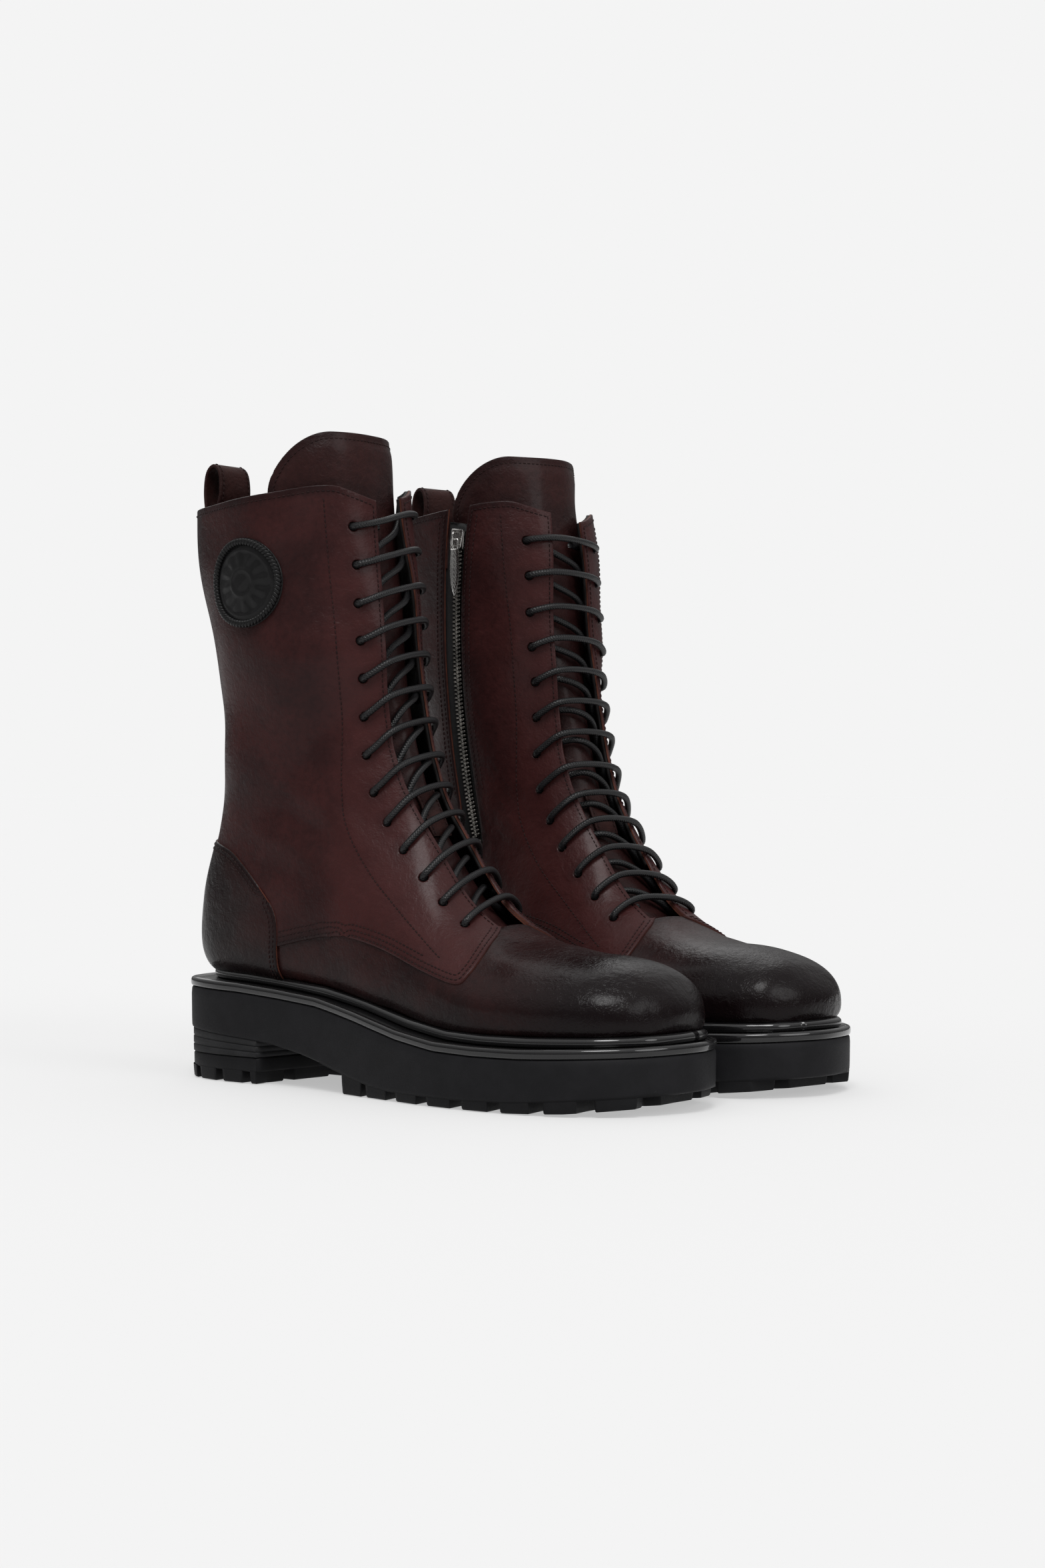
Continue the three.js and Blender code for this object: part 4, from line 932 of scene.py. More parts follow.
def tube(points, radius, sides=12):
    """Rings round a path, turned as little as possible."""
    tangent = unit(np.gradient(points, axis=0))
    side_vector = np.cross(tangent[0], [0, 0, 1.0])
    if np.linalg.norm(side_vector) < 1e-3:
        side_vector = np.cross(tangent[0], [0, 1.0, 0])
    frames = []
    current = unit(side_vector)
    for t in tangent:
        current = unit(current - t * (current @ t))
        frames.append(current)
    frames = np.array(frames)
    other = np.cross(tangent, frames)
    phi = (np.arange(sides) / sides * 2 * math.pi)[None, :, None]
    ring = frames[:, None, :] * np.cos(phi) + other[:, None, :] * np.sin(phi)
    return points[:, None, :] + ring * radius


def catmull(points, per_span):
    """Centripetal Catmull-Rom curve through points."""
    p = np.asarray(points, float)
    p = np.vstack([2 * p[0] - p[1], p, 2 * p[-1] - p[-2]])
    out = []
    for i in range(1, len(p) - 2):
        a, b, c, d = p[i - 1:i + 3]
        t = [0.0]
        for q0, q1 in ((a, b), (b, c), (c, d)):
            t.append(t[-1] + max(np.linalg.norm(q1 - q0), 1e-4) ** 0.5)
        x = np.linspace(t[1], t[2], per_span, endpoint=False)[:, None]
        a1 = (t[1] - x) / (t[1] - t[0]) * a + (x - t[0]) / (t[1] - t[0]) * b
        a2 = (t[2] - x) / (t[2] - t[1]) * b + (x - t[1]) / (t[2] - t[1]) * c
        a3 = (t[3] - x) / (t[3] - t[2]) * c + (x - t[2]) / (t[3] - t[2]) * d
        b1 = (t[2] - x) / (t[2] - t[0]) * a1 + (x - t[0]) / (t[2] - t[0]) * a2
        b2 = (t[3] - x) / (t[3] - t[1]) * a2 + (x - t[1]) / (t[3] - t[1]) * a3
        out.append((t[2] - x) / (t[2] - t[1]) * b1 + (x - t[1]) / (t[2] - t[1]) * b2)
    return np.vstack(out + [p[-2:-1]])


LACE_BEND = 2.6
LACE_SIDES = 12
LACE_STEP = 1.1
CROSSING = (0.18, 0.82)


def build_lace(side, seed, outer_row, inner_row):
    """One cord: across in front row by row, and back up behind the facings."""
    over = QUARTER_H + LACE_R + 0.25
    under = -(2.9 + LACE_R + 0.2)
    points = []

    def add(s, v, lift):
        points.append(front(s, v, lift, seed))

    def turn(s, v, up):
        """Through one eyelet, out to the front or back in."""
        bent = v - math.copysign(LACE_BEND, v)
        way = [(bent, under), (v, under + 1.4), (v, over - 1.3), (bent, over)]
        for across, lift in way if up else way[::-1]:
            add(s, across, lift)

    outer = list(zip(*outer_row))
    for row, ((so, vo), (si, vi)) in enumerate(zip(outer, zip(*inner_row))):
        if row == 0:
            add(so, 6.0, under - 0.6)
        gap = float(np.interp(front(so, 10, 0.0)[2], GAP_Z, GAP_V))
        turn(so, vo, True)
        for share, v in zip(CROSSING, (gap - 0.4, -gap + 0.4)):
            add(so + (si - so) * share, v, over + 0.15)
        turn(si, vi, False)
        if row + 1 < len(outer):
            following = outer[row + 1][0]
            add(si + (following - si) * 0.35, -8.0, under)
            add(si + (following - si) * 0.65, 8.0, under)
        else:
            add(si, -8.0, under)
    path = catmull(points, 7)
    steps = lengths(path)
    at = np.linspace(0, steps[-1], int(steps[-1] / LACE_STEP))
    pile = Pile()
    pile.loft(tube(sample(at, steps, path), LACE_R, LACE_SIDES), extra=np.repeat(at, LACE_SIDES))
    obj = pile.object("lace", side, "lace", "boot", "lace_cord", ("lace",), key="along")
    layer = obj.data.attributes.new("around", "FLOAT", "POINT")
    around = np.tile(np.arange(LACE_SIDES) / LACE_SIDES * 2 * math.pi, len(at))
    layer.data.foreach_set("value", np.concatenate([around, [0, 0]]))


# ---------- sole ----------

def outline(count=300):
    """Points round the sole's edge and the directions inward from them."""
    outer = [(w, u) for u, w, _ in SOLE]
    inner = [(-w, u) for u, _, w in SOLE[1:-1]][::-1]
    p = np.array(outer + inner, float)
    n = len(p)
    t = np.linspace(0, n, 2400, endpoint=False)
    i = np.floor(t).astype(int)
    q = spline(*[p[(i + k) % n] for k in (-1, 0, 1, 2)], (t - i)[:, None])
    q = np.vstack([q, q[:1]])
    steps = lengths(q)
    q = sample(np.linspace(0, steps[-1], count, endpoint=False), steps, q)
    tangent = unit(np.roll(q, -1, 0) - np.roll(q, 1, 0))
    return q, np.stack([-tangent[:, 1], tangent[:, 0]], -1)


OUTLINE, INWARD = outline()


def height(profile, u):
    return np.interp(u, profile[:, 0], profile[:, 1])


def wall(levels):
    """Loops (levels, points, 3); each level gives an inset and a height function of u."""
    loops = []
    for inset, z_of in levels:
        q = OUTLINE + INWARD * inset
        loops.append(np.column_stack([q, z_of(q[:, 1])]))
    return np.array(loops)


def cap_faces(n):
    """Strips between the two sides of the first loop."""
    i = np.arange(0, n // 2)
    return np.stack([(n - i) % n, (n - 1 - i) % n, (i + 1) % n, i], -1)


def slab(name, side, levels, slot, under=False):
    loops = wall(levels)
    m, n = loops.shape[:2]
    faces = [grid_faces(m, n, wrap=True)]
    if under:
        faces.append(cap_faces(n))
    make(name, side, loops.reshape(-1, 3), faces, name, "boot", slot, (name,), {"edge": np.zeros((m, n))})


def half_width(u, outer_side, inset):
    chosen = OUTLINE[(OUTLINE[:, 0] > 0) if outer_side else (OUTLINE[:, 0] < 0)]
    order = chosen[:, 1].argsort()
    width = np.abs(np.interp(u, chosen[order, 1], chosen[order, 0]))
    return np.maximum(width - inset, 0.5)


LUG_DRAFT = 0.7
LUG_BEVEL = 0.6


def block(pile, poly, z_low, z_high):
    """Lug with a tapered wall and bevelled foot. z_low and z_high are functions of u."""
    poly = np.asarray(poly, float)
    ahead = np.roll(poly, -1, axis=0)
    if np.sum(poly[:, 0] * ahead[:, 1] - ahead[:, 0] * poly[:, 1]) < 0:
        poly = poly[::-1]
    # even out the outline
    closed = np.vstack([poly, poly[:1]])
    steps = lengths(closed)
    count = max(int(steps[-1] / 1.6), 8)
    at = np.unique(np.concatenate([np.linspace(0, steps[-1], count, endpoint=False), steps[:-1]]))
    q = sample(at, steps, closed)
    centre = q.mean(0)
    toward = unit(centre - q)
    loops = []
    for inset, z_of in (
            (0, z_high),
            (LUG_DRAFT * 0.4, lambda u: (z_high(u) + z_low(u)) / 2),
            (LUG_DRAFT, lambda u: z_low(u) + LUG_BEVEL),
            (LUG_DRAFT + LUG_BEVEL, z_low)):
        r = q + toward * inset
        loops.append(np.column_stack([r, z_of(r[:, 1])]))
    loops = np.array(loops)
    n = len(q)
    points = np.vstack([loops.reshape(-1, 3), loops[-1].mean(0)])
    points[-1, 2] = z_low(points[-1:, 1])[0]
    pile.add(points, [grid_faces(4, n, wrap=True)[:, ::-1], fan_faces(4 * n, 3 * n, n)[:, [0, 2, 1]]])


def edge_poly(u0, u1, v_in, outer_side, inset, slant=0.0):
    us = np.linspace(u0, u1, 8)
    width = half_width(us + slant, outer_side, inset)
    sign = 1 if outer_side else -1
    outer_pts = [(sign * w, u + slant) for u, w in zip(us, width)]
    return outer_pts + [(sign * v_in, u1), (sign * v_in, u0)]


def top(rise):
    return lambda u: height(WELT_TOP, u) + rise


def tread(rise):
    return lambda u: height(TREAD_TOP, u) + rise


def flat(z):
    return lambda u: np.full(np.shape(u), float(z))


def build_sole(side):
    slab("welt", side, [
        (0.9, top(-WELT_DEEP - 0.2)), (0.25, top(-WELT_DEEP + 0.25)), (0.0, top(-WELT_DEEP + 0.9)),
        (-0.1, top(-2.3)), (0.05, top(-1.2)), (0.5, top(-0.45)), (1.25, top(-0.05)), (2.1, top(0.0)),
        (2.9, top(-0.25)), (3.4, top(-0.6)), (4.0, top(-0.5)), (8.0, top(-0.4)), (14.0, top(-0.4)),
        (23.0, top(-0.4)),
    ], "welt_rubber")

    # side of the thick midsole, with faint moulded layers
    def layer(share):
        low, high = tread(0), top(-WELT_DEEP - 0.2)
        return lambda u: low(u) + (high(u) - low(u)) * share

    levels = [(2.2, tread(-0.6)), (1.4, tread(-0.35)), (0.75, tread(0.3)), (0.55, tread(1.2))]
    levels += [(0.5 - 0.25 * share, layer(share)) for share in (0.2, 0.4, 0.6, 0.8)]
    levels += [(0.5, layer(0.94)), (1.0, layer(0.985)), (1.8, layer(1.0))]
    slab("midsole", side, levels, "sole_rubber", under=True)
    build_forepart(side)
    build_heel(side)
    build_rand(side)


LUG_LONG = 15.0
LUG_PITCH = 22.0
LUG_ROWS = 8


def build_forepart(side):
    """Tread plate and lugs."""
    pile = Pile()
    us = np.linspace(108.0, 302.2, 90)
    outward = half_width(us, True, 1.0)
    inward = half_width(us, False, 1.0)
    for width in (outward, inward):
        width[-3:] *= [0.9, 0.72, 0.35]
    loops = []
    for u, a, b in zip(us, outward, inward):
        v = np.linspace(-b, a, 12)
        low_z, high_z = tread(-0.5)(u), tread(2.8)(u)
        loops.append([(x, u, low_z) for x in v] + [(x, u, high_z) for x in v[::-1]])
    pile.loft(np.array(loops)[:, ::-1])
    ground = lambda u: height(GROUND, u)
    plate = tread(0.4)
    for row in range(LUG_ROWS):
        u = 118.5 + row * LUG_PITCH if row else 122.0
        end = u + LUG_LONG
        block(pile, edge_poly(u, end, 24, True, 1.0, 3), ground, plate)
        block(pile, edge_poly(u + 3, end + 3, 20, False, 1.0, -3), ground, plate)
        if row > 0:
            block(pile, [(-12, u + 5), (16, u + 5), (18, u + 11), (16, end + 4), (-12, end + 4),
                         (-14, u + 11)], ground, plate)
    pile.object("outsole_forepart", side, "tread", "boot", "tread_rubber", ("outsole_forepart",))


def heel_slab(levels):
    """Part of the heel from insets and heights, cut off by the slanting breast."""
    us = np.concatenate([[0.25], np.linspace(1.2, 66, 44)])
    rings = []
    for inset, z_of in levels:
        edges = []
        for sign in (1, -1):
            width = np.maximum(half_width(us, sign > 0, 0) - inset, 0.1)
            edges.append(np.column_stack([sign * width, us + inset * np.maximum(0, 1 - us / 20)]))
        outer, inner = edges
        x = np.linspace(outer[-1, 0], inner[-1, 0], 16)
        breast = np.column_stack([x, 64 + 12 * (40 - x) / 80 - inset * 0.6])
        ring = np.vstack([outer[:-2], breast, inner[:-2][::-1]])
        rings.append(np.column_stack([ring, z_of(ring[:, 1])]))
    pile = Pile()
    pile.loft(rings[::-1])
    return pile


def build_heel(side):
    """Stack, top piece and its lugs."""
    share = lambda f: (lambda u: TOP_PIECE + 0.3 + (height(TREAD_TOP, u) - 0.6 - TOP_PIECE) * f)
    levels = [(1.9, 0), (1.3, 0.03), (1.2, 0.28), (1.75, 0.31), (1.75, 0.34), (1.2, 0.37),
              (1.2, 0.62), (1.75, 0.65), (1.75, 0.68), (1.2, 0.71), (1.2, 0.97), (1.9, 1.0)]
    part = heel_slab([(inset, share(f)) for inset, f in levels])
    part.object("heel_stack", side, "stack", "boot", "stack_rubber", ("heel_stack",))
    part = heel_slab([(inset, flat(z)) for inset, z in (
        (2.3, 6.0), (1.8, 6.3), (1.6, 7.0), (1.5, 12.2), (1.8, 12.8), (2.4, 13.0))])
    us = np.linspace(2, 16.5, 8)
    outward = half_width(us, True, 1.7)
    inward = half_width(us, False, 1.7)
    lugs = [[(0.2, 1.0)] + list(zip(outward, us)) + list(zip(-inward[::-1], us[::-1]))]
    for u0, outer_u1, inner_u1, slant in ((22, 36, 36, -1.5), (41, 55, 55, -1.5), (60, 63.5, 71.5, -1.0)):
        lugs.append(edge_poly(u0, outer_u1, 17, True, 1.7, slant))
        lugs.append(edge_poly(u0, inner_u1, 17, False, 1.7, slant))
    lugs.append([(-12, 24.5), (12, 24.5), (12, 66), (-12, 69)])
    for lug in lugs:
        block(part, lug, flat(0.0), flat(6.4))
    part.object("heel_top_piece", side, "tread", "boot", "tread_rubber", ("heel_top_piece",))


def build_rand(side):
    """Rubber bead where the upper meets the welt."""
    prm, faces = panel_grid(0.03, 12.4, -179.9, 180, 14, 260)
    p = place(prm, 0.6)
    bead = Pile()
    for chain in contour(prm, faces, p[:, 2] - (height(WELT_TOP, p[:, 1]) + 3.4), everywhere):
        if len(chain) < 60:
            continue
        path = place(chain, 0.4)
        steps = lengths(path)
        path = sample(np.linspace(0, steps[-1], int(steps[-1] / 2.5)), steps, path)
        path[:, 2] = height(WELT_TOP, path[:, 1]) + 2.0
        bead.loft(tube(path, 2.7, 12))
    bead.object("rand", side, "welt", "boot", "welt_rubber")


# ---------- zip ----------
TAPE_TOP = -(1.8 + 2.7 + 0.3)
TEETH_LOW = TAPE_TOP + 0.3
TEETH_TOP = TEETH_LOW + 2.2
SLIDER_LOW = TEETH_TOP + 0.3
SLIDER_TOP = SLIDER_LOW + 1.4
PIN_UP = 0.84853
PIN_DOWN = 5.5
TOOTH_PITCH = 2.15


def zip_box(pile, d0, d1, o0, o1, h0, h1, bevel=0.25):
    """Bevelled block lying along the zip."""
    b = min(bevel, (o1 - o0) / 3, (h1 - h0) / 3, abs(d1 - d0) / 3)
    section = np.array([(o0 + b, h0), (o1 - b, h0), (o1, h0 + b), (o1, h1 - b),
                        (o1 - b, h1), (o0 + b, h1), (o0, h1 - b), (o0, h0 + b)])
    middle = np.array([(o0 + o1) / 2, (h0 + h1) / 2])
    end = (1 - b / max(o1 - o0, h1 - h0)) * 0.86
    loops = []
    for d, k in ((d0, end), (d0 + b, 1), (d1 - b, 1), (d1, end)):
        out, up = (middle + (section - middle) * k).T
        loops.append(zip_point(d, out, up))
    pile.loft(loops)


def build_zip(side):
    # tape with a woven selvedge
    tape = Pile()
    d = np.linspace(-3, ZIP_LENGTH + 4, 90)
    x = np.array([-9, -8.6, -4.4, -4.0, -3.3, -3.0, 3.0, 3.3, 4.0, 4.4, 8.6, 9])
    up = np.array([-0.5, 0, 0, 0.35, 0.35, -0.1, -0.1, 0.35, 0.35, 0, 0, -0.5])
    D, X = np.meshgrid(d, x, indexing="ij")
    over = zip_point(D, X, TAPE_TOP + np.broadcast_to(up, D.shape))
    below = zip_point(D, X, np.full(D.shape, TAPE_TOP - 0.8))
    tape.loft(np.concatenate([over, below[:, ::-1]], axis=1)[:, ::-1])
    tape.object("zip_tape", side, "tape", "boot", "zip_fabric", ("zip_tape",))

    teeth = Pile()
    for k in range(int((ZIP_LENGTH - 14) / TOOTH_PITCH)):
        for sign, shift in ((-1, 0), (1, TOOTH_PITCH / 2)):
            c = 12.0 + k * TOOTH_PITCH + shift
            low, high = sorted((sign * -0.75, sign * 2.75))
            zip_box(teeth, c - 0.58, c + 0.58, low, high, TEETH_LOW + 0.15, TEETH_TOP - 0.15, 0.3)
    zip_box(teeth, ZIP_LENGTH - 2.4, ZIP_LENGTH, -2.8, 2.8, TEETH_LOW, TEETH_TOP, 0.5)
    for low, high in ((-2.7, -1.0), (1.0, 2.7)):
        zip_box(teeth, 0.2, 2.0, low, high, TEETH_LOW, TEETH_TOP, 0.4)
    teeth.object("zip_teeth", side, "teeth", "boot", "zip_metal", ("zip_teeth",))

    # slider: a shield-shaped plate, its two sides and the bridge that holds the pull
    slider = Pile()
    d = np.linspace(0, 1, 15)
    taper = 0.66 + 0.34 * np.clip(1 - d, 0, 1) ** 0.8
    ends = np.clip(np.sin(np.clip(d * 1.02 + 0.1, 0, 1.12) * math.pi * 0.86) * 2.4, 0.4, 1) ** 0.5
    loops = []
    for share, half in zip(d, 4.4 * taper * ends):
        out, up = rounded_section(half, SLIDER_TOP - SLIDER_LOW, 7).T
        loops.append(zip_point(share * 11, out, (SLIDER_LOW + SLIDER_TOP) / 2 + up))
    slider.loft(loops)
    for low, high in ((-4.35, -3.15), (3.15, 4.35)):
        zip_box(slider, 0.6, 10.4, low, high, TAPE_TOP + 0.35, SLIDER_LOW + 0.5, 0.4)
    path = smooth_line([
        (1.9, SLIDER_TOP - 0.4), (1.9, SLIDER_TOP + 0.9), (2.5, PIN_UP + 1.5), (5.5, PIN_UP + 1.95),
        (8.5, PIN_UP + 1.5), (9.1, SLIDER_TOP + 0.9), (9.1, SLIDER_TOP - 0.4)], 5)
    slider.loft(tube(zip_point(path[:, 0], np.zeros(len(path)), path[:, 1]), 0.62, 10))
    slider.object("zip_slider", side, "nickel", "slider_body", "slider_metal", ("zip_slider",))
    build_pull(side)


def build_pull(side):
    """Leaf-shaped pull, narrow at the eye, full in the middle, pointed at the foot."""
    pin = zip_point(PIN_DOWN, 0.0, PIN_UP)
    y = np.concatenate([np.linspace(-5.2, -29.6, 40), [-30.2]])
    half = np.interp((-y - 5.2) / 25.2, [0, 0.1, 0.28, 0.5, 0.72, 0.9, 0.97, 1.0],
                     [2.9, 3.2, 3.7, 3.75, 3.0, 1.4, 0.55, 0.15])
    Y, X = np.meshgrid(y, np.linspace(-1, 1, 17), indexing="ij")
    W = half[:, None] * X
    vein = 0.16 * np.exp(-(W / 0.35) ** 2)
    barbs = 0.1 * np.sin((Y + np.abs(W) * 1.5) * 2.6) * np.clip(1 - np.abs(X) ** 4, 0, 1)
    swell = 0.62 * np.sqrt(np.clip(1 - X ** 4, 0, 1)) * np.clip(half[:, None] / 1.6, 0.25, 1)
    outer_face = np.stack([-swell - vein * 0.9 - barbs * 0.6, W, Y], -1)
    inner_face = np.stack([swell * 0.9, W, Y], -1)
    leaf = Pile()
    leaf.loft(pin + np.concatenate([outer_face, inner_face[:, ::-1]], axis=1))
    eye = smooth_line([(0, 0.0), (2.45, -0.2), (2.7, -2.6), (2.4, -5.4), (0, -6.0), (-2.4, -5.4),
                       (-2.7, -2.6), (-2.45, -0.2), (0, 0.0)], 5)
    leaf.loft(tube(pin + np.column_stack([np.zeros(len(eye)), eye]), 0.55, 8))
    leaf.object("zip_pull", side, "nickel", "pull_body", "slider_metal", ("zip_pull",))


# ---------- badge ----------
BADGE_U = 64.0
BADGE_Z = 251.0
ROPE_R = 20.4
ROPE_TURNS = 34
ROPE_STRAND = 0.95


def on_shaft(du, dz, lift, seed):
    """Points of the shaft's outer side at a side view offset from the badge's middle, lifted off it."""
    u = BADGE_U + np.asarray(du, float)
    z = BADGE_Z + np.asarray(dz, float)
    s = np.full(u.shape, 14.6)
    t = np.full(u.shape, 1.55)
    step = 1e-3
    for _ in range(14):
        p = upper(s, t)
        ds = (upper(s + step, t) - p) / step
        dt = (upper(s, t + step) - p) / step
        ru, rz = u - p[..., 1], z - p[..., 2]
        det = ds[..., 1] * dt[..., 2] - ds[..., 2] * dt[..., 1]
        s = s + np.clip((ru * dt[..., 2] - rz * dt[..., 1]) / det, -0.5, 0.5)
        t = t + np.clip((ds[..., 1] * rz - ds[..., 2] * ru) / det, -0.2, 0.2)
    return surf(s, t, np.broadcast_to(lift, u.shape) + QUARTER_H, seed)[0]


def build_badge(side, seed):
    """Plain round badge with a twisted rope rim, lying on the outer side of the shaft."""
    r = np.concatenate([np.linspace(0, 17.5, 22), [18.2, 19.5, 20.6, 21.4, 22.0, 22.3, 22.4]])
    phi = np.linspace(0, 2 * math.pi, 96, endpoint=False)
    R, F = np.meshgrid(r, phi, indexing="ij")
    dome = 1.5 + 0.9 * np.cos(np.clip(R / 18, 0, 1) * math.pi / 2)
    ribs = 0.28 * np.sin(F * 12) * np.exp(-((R - 12.2) / 3.2) ** 2)
    ring = 0.45 * np.exp(-((R - 6.6) / 0.8) ** 2) + 0.45 * np.exp(-((R - 16.6) / 0.8) ** 2)
    fall = np.interp(R, [0, 18.2, 20.6, 21.4, 22.0, 22.3, 22.4], [0, 0, -0.4, -0.6, -0.9, -1.3, -2.0])
    p = on_shaft(R * np.cos(F), R * np.sin(F), dome + ribs + ring + fall, seed)
    pile = Pile()
    pile.add(p, [grid_faces(len(r), len(phi), wrap=True)[:, ::-1]], np.full(R.size, 10.0))
    # two-strand rope
    a = np.linspace(0, 2 * math.pi, 361)
    for strand in (0, math.pi):
        twist = a * ROPE_TURNS + strand
        rope = ROPE_R + ROPE_STRAND * np.cos(twist)
        path = on_shaft(rope * np.cos(a), rope * np.sin(a), 1.6 + ROPE_STRAND * np.sin(twist), seed)
        pile.loft(tube(path, 1.05, 8), caps=False)
    pile.object("side_medallion", side, "badge", "boot", "badge_leather", ("side_medallion",))


# ---------- materials ----------

def linked(value):
    return hasattr(value, "is_output")


class Nodes:
    """Short hand for building a material's node tree."""

    def __init__(self, name):
        self.material = bpy.data.materials.new(name)
        self.material.use_nodes = True
        self.tree = self.material.node_tree
        self.shader = self.tree.nodes["Principled BSDF"]
        self.point = self.attribute("bp", "Vector")

    def link(self, source, target):
        if linked(source):
            self.tree.links.new(source, target)
        else:
            target.default_value = source

    def add(self, kind, settings=None, **sockets):
        """Node with its settings and its sockets' values or links; _ stands for a space in a name."""
        node = self.tree.nodes.new(kind)
        for key, value in (settings or {}).items():
            setattr(node, key, value)
        for key, value in sockets.items():
            self.link(value, node.inputs[key.replace("_", " ")])
        return node

    def attribute(self, name, output="Fac"):
        return self.add("ShaderNodeAttribute", {"attribute_name": name}).outputs[output]

    def noise(self, scale, detail=2.0, rough=0.5, distortion=0.0):
        return self.add("ShaderNodeTexNoise", Scale=scale, Detail=detail, Roughness=rough,
                        Distortion=distortion, Vector=self.point).outputs["Fac"]

    def voronoi(self, scale):
        return self.add("ShaderNodeTexVoronoi", Scale=scale, Vector=self.point).outputs["Distance"]

    def wave(self, direction, scale, distortion=0.0):
        return self.add("ShaderNodeTexWave", {"bands_direction": direction}, Scale=scale,
                        Distortion=distortion, Vector=self.point).outputs["Fac"]

    def math(self, operation, a, b=0.5):
        node = self.add("ShaderNodeMath", {"operation": operation})
        self.link(a, node.inputs[0])
        self.link(b, node.inputs[1])
        return node.outputs[0]

    def ramp(self, value, low, high, to_low=0.0, to_high=1.0):
        return self.add("ShaderNodeMapRange", {"interpolation_type": "SMOOTHSTEP"}, Value=value,
                        From_Min=low, From_Max=high, To_Min=to_low, To_Max=to_high).outputs["Result"]

    def mix(self, share, a, b):
        a, b = [value if linked(value) else (*value, 1) for value in (a, b)]
        return self.add("ShaderNodeMix", {"data_type": "RGBA"}, Factor=share, A=a, B=b).outputs["Result"]

    def bump(self, relief_map, strength, distance, chain=None):
        node = self.add("ShaderNodeBump", Strength=strength, Distance=distance, Height=relief_map)
        if chain is not None:
            self.link(chain, node.inputs["Normal"])
        return node.outputs["Normal"]

    def axis(self, which):
        return self.add("ShaderNodeSeparateXYZ", Vector=self.point).outputs[which]

    def finish(self, colour, roughness, normal_in, **sockets):
        self.link(colour, self.shader.inputs["Base Color"])
        self.link(roughness, self.shader.inputs["Roughness"])
        self.link(normal_in, self.shader.inputs["Normal"])
        for key, value in sockets.items():
            self.shader.inputs[key.replace("_", " ")].default_value = value
        return self.material


def leather(name, light, dark, rough, pebble, coat=0.0, edge_burn=0.55, part=None):
    """Mottled leather, darker at its edges; part says where else it is burnished or worn."""
    k = Nodes(name)
    cloud = k.noise(0.035, 3, 0.6)
    fine = k.noise(0.35, 4, 0.6)
    colour = k.mix(k.ramp(cloud, 0.3, 0.72), dark, light)
    colour = k.mix(k.math("MULTIPLY", k.ramp(fine, 0.35, 0.8), 0.35), colour, BURNT)
    edge = k.attribute("edge")
    near = k.ramp(k.math("ADD", edge, k.math("MULTIPLY", fine, -1.5)), 0.0, 5.5, edge_burn, 0.0)
    colour = k.mix(near, colour, BURNT)
    u = k.axis("Y")
    z = k.axis("Z")
    rough_map = k.ramp(cloud, 0.2, 0.8, rough - 0.05, rough + 0.07)
    if part == "toe":
        wobble = k.math("MULTIPLY", k.math("SUBTRACT", cloud, 0.5), 46.0)
        along = k.math("ADD", u, wobble)
        burn = k.ramp(along, 196, 268, 0.0, 0.97)
        low = k.ramp(k.math("ADD", z, k.math("MULTIPLY", wobble, 0.35)), 30, 58, 0.85, 0.0)
        both = k.math("MAXIMUM", burn, low)
        colour = k.mix(both, colour, BURNT)
        rough_map = k.math("SUBTRACT", rough_map, k.math("MULTIPLY", burn, 0.13))
    elif part == "counter":
        wobble = k.math("MULTIPLY", k.math("SUBTRACT", cloud, 0.5), 40.0)
        back = k.ramp(k.math("ADD", u, wobble), 10, 66, 0.95, 0.2)
        low = k.ramp(k.math("ADD", z, k.math("MULTIPLY", wobble, 0.4)), 50, 84, 0.9, 0.0)
        colour = k.mix(k.math("MAXIMUM", back, low), colour, BURNT)
    elif part == "shaft":
        lift = k.ramp(u, 100, 122, 0.0, 0.5)
        colour = k.mix(lift, colour, tuple(min(c * 1.45, 1) for c in light))
        back = k.ramp(k.math("ADD", u, k.math("MULTIPLY", cloud, 24.0)), 22, 46, 0.55, 0.0)
        colour = k.mix(back, colour, BURNT)
    cells = k.voronoi(0.95)
    small = k.voronoi(2.1)
    grain = k.math("ADD", k.math("MULTIPLY", cells, 0.65), k.math("MULTIPLY", small, 0.35))
    warp = k.noise(0.22, 3, 0.55, distortion=1.2)
    grain = k.math("MULTIPLY", grain, k.ramp(warp, 0.3, 0.7, 0.45, 1.0))
    normal_out = k.bump(k.noise(0.07, 4, 0.6), 0.5, 0.0022)
    normal_out = k.bump(warp, 0.4, 0.0006, normal_out)
    normal_out = k.bump(grain, pebble, 0.00022, normal_out)
    pores = k.ramp(cells, 0.0, 0.22, 0.16, 0.0)
    colour = k.mix(pores, colour, BURNT)
    return k.finish(colour, k.math("ADD", rough_map, k.math("MULTIPLY", grain, 0.06)), normal_out,
                    Coat_Weight=coat, Coat_Roughness=0.2, Specular_IOR_Level=0.085)


BURNT = (0.0038, 0.0021, 0.0024)
for key, light, dark, rough, pebble, more in (
        ("shaft", (0.034, 0.0095, 0.0092), (0.02, 0.0066, 0.0066), 0.36, 0.6,
         {"part": "shaft", "coat": 0.09}),
        ("vamp", (0.024, 0.0072, 0.0068), (0.012, 0.0046, 0.0046), 0.33, 0.8,
         {"part": "toe", "coat": 0.11}),
        ("counter", (0.024, 0.0072, 0.0068), (0.013, 0.005, 0.0048), 0.33, 0.65,
         {"part": "counter", "coat": 0.11}),
        ("strap", (0.03, 0.0105, 0.009), (0.019, 0.007, 0.0065), 0.45, 0.5, {"edge_burn": 0.3}),
        ("tongue", (0.026, 0.0085, 0.008), (0.016, 0.0058, 0.0056), 0.4, 0.65,
         {"edge_burn": 0.25, "coat": 0.07})):
    MATERIALS[key] = leather(f"leather_{key}", light, dark, rough, pebble, **more)


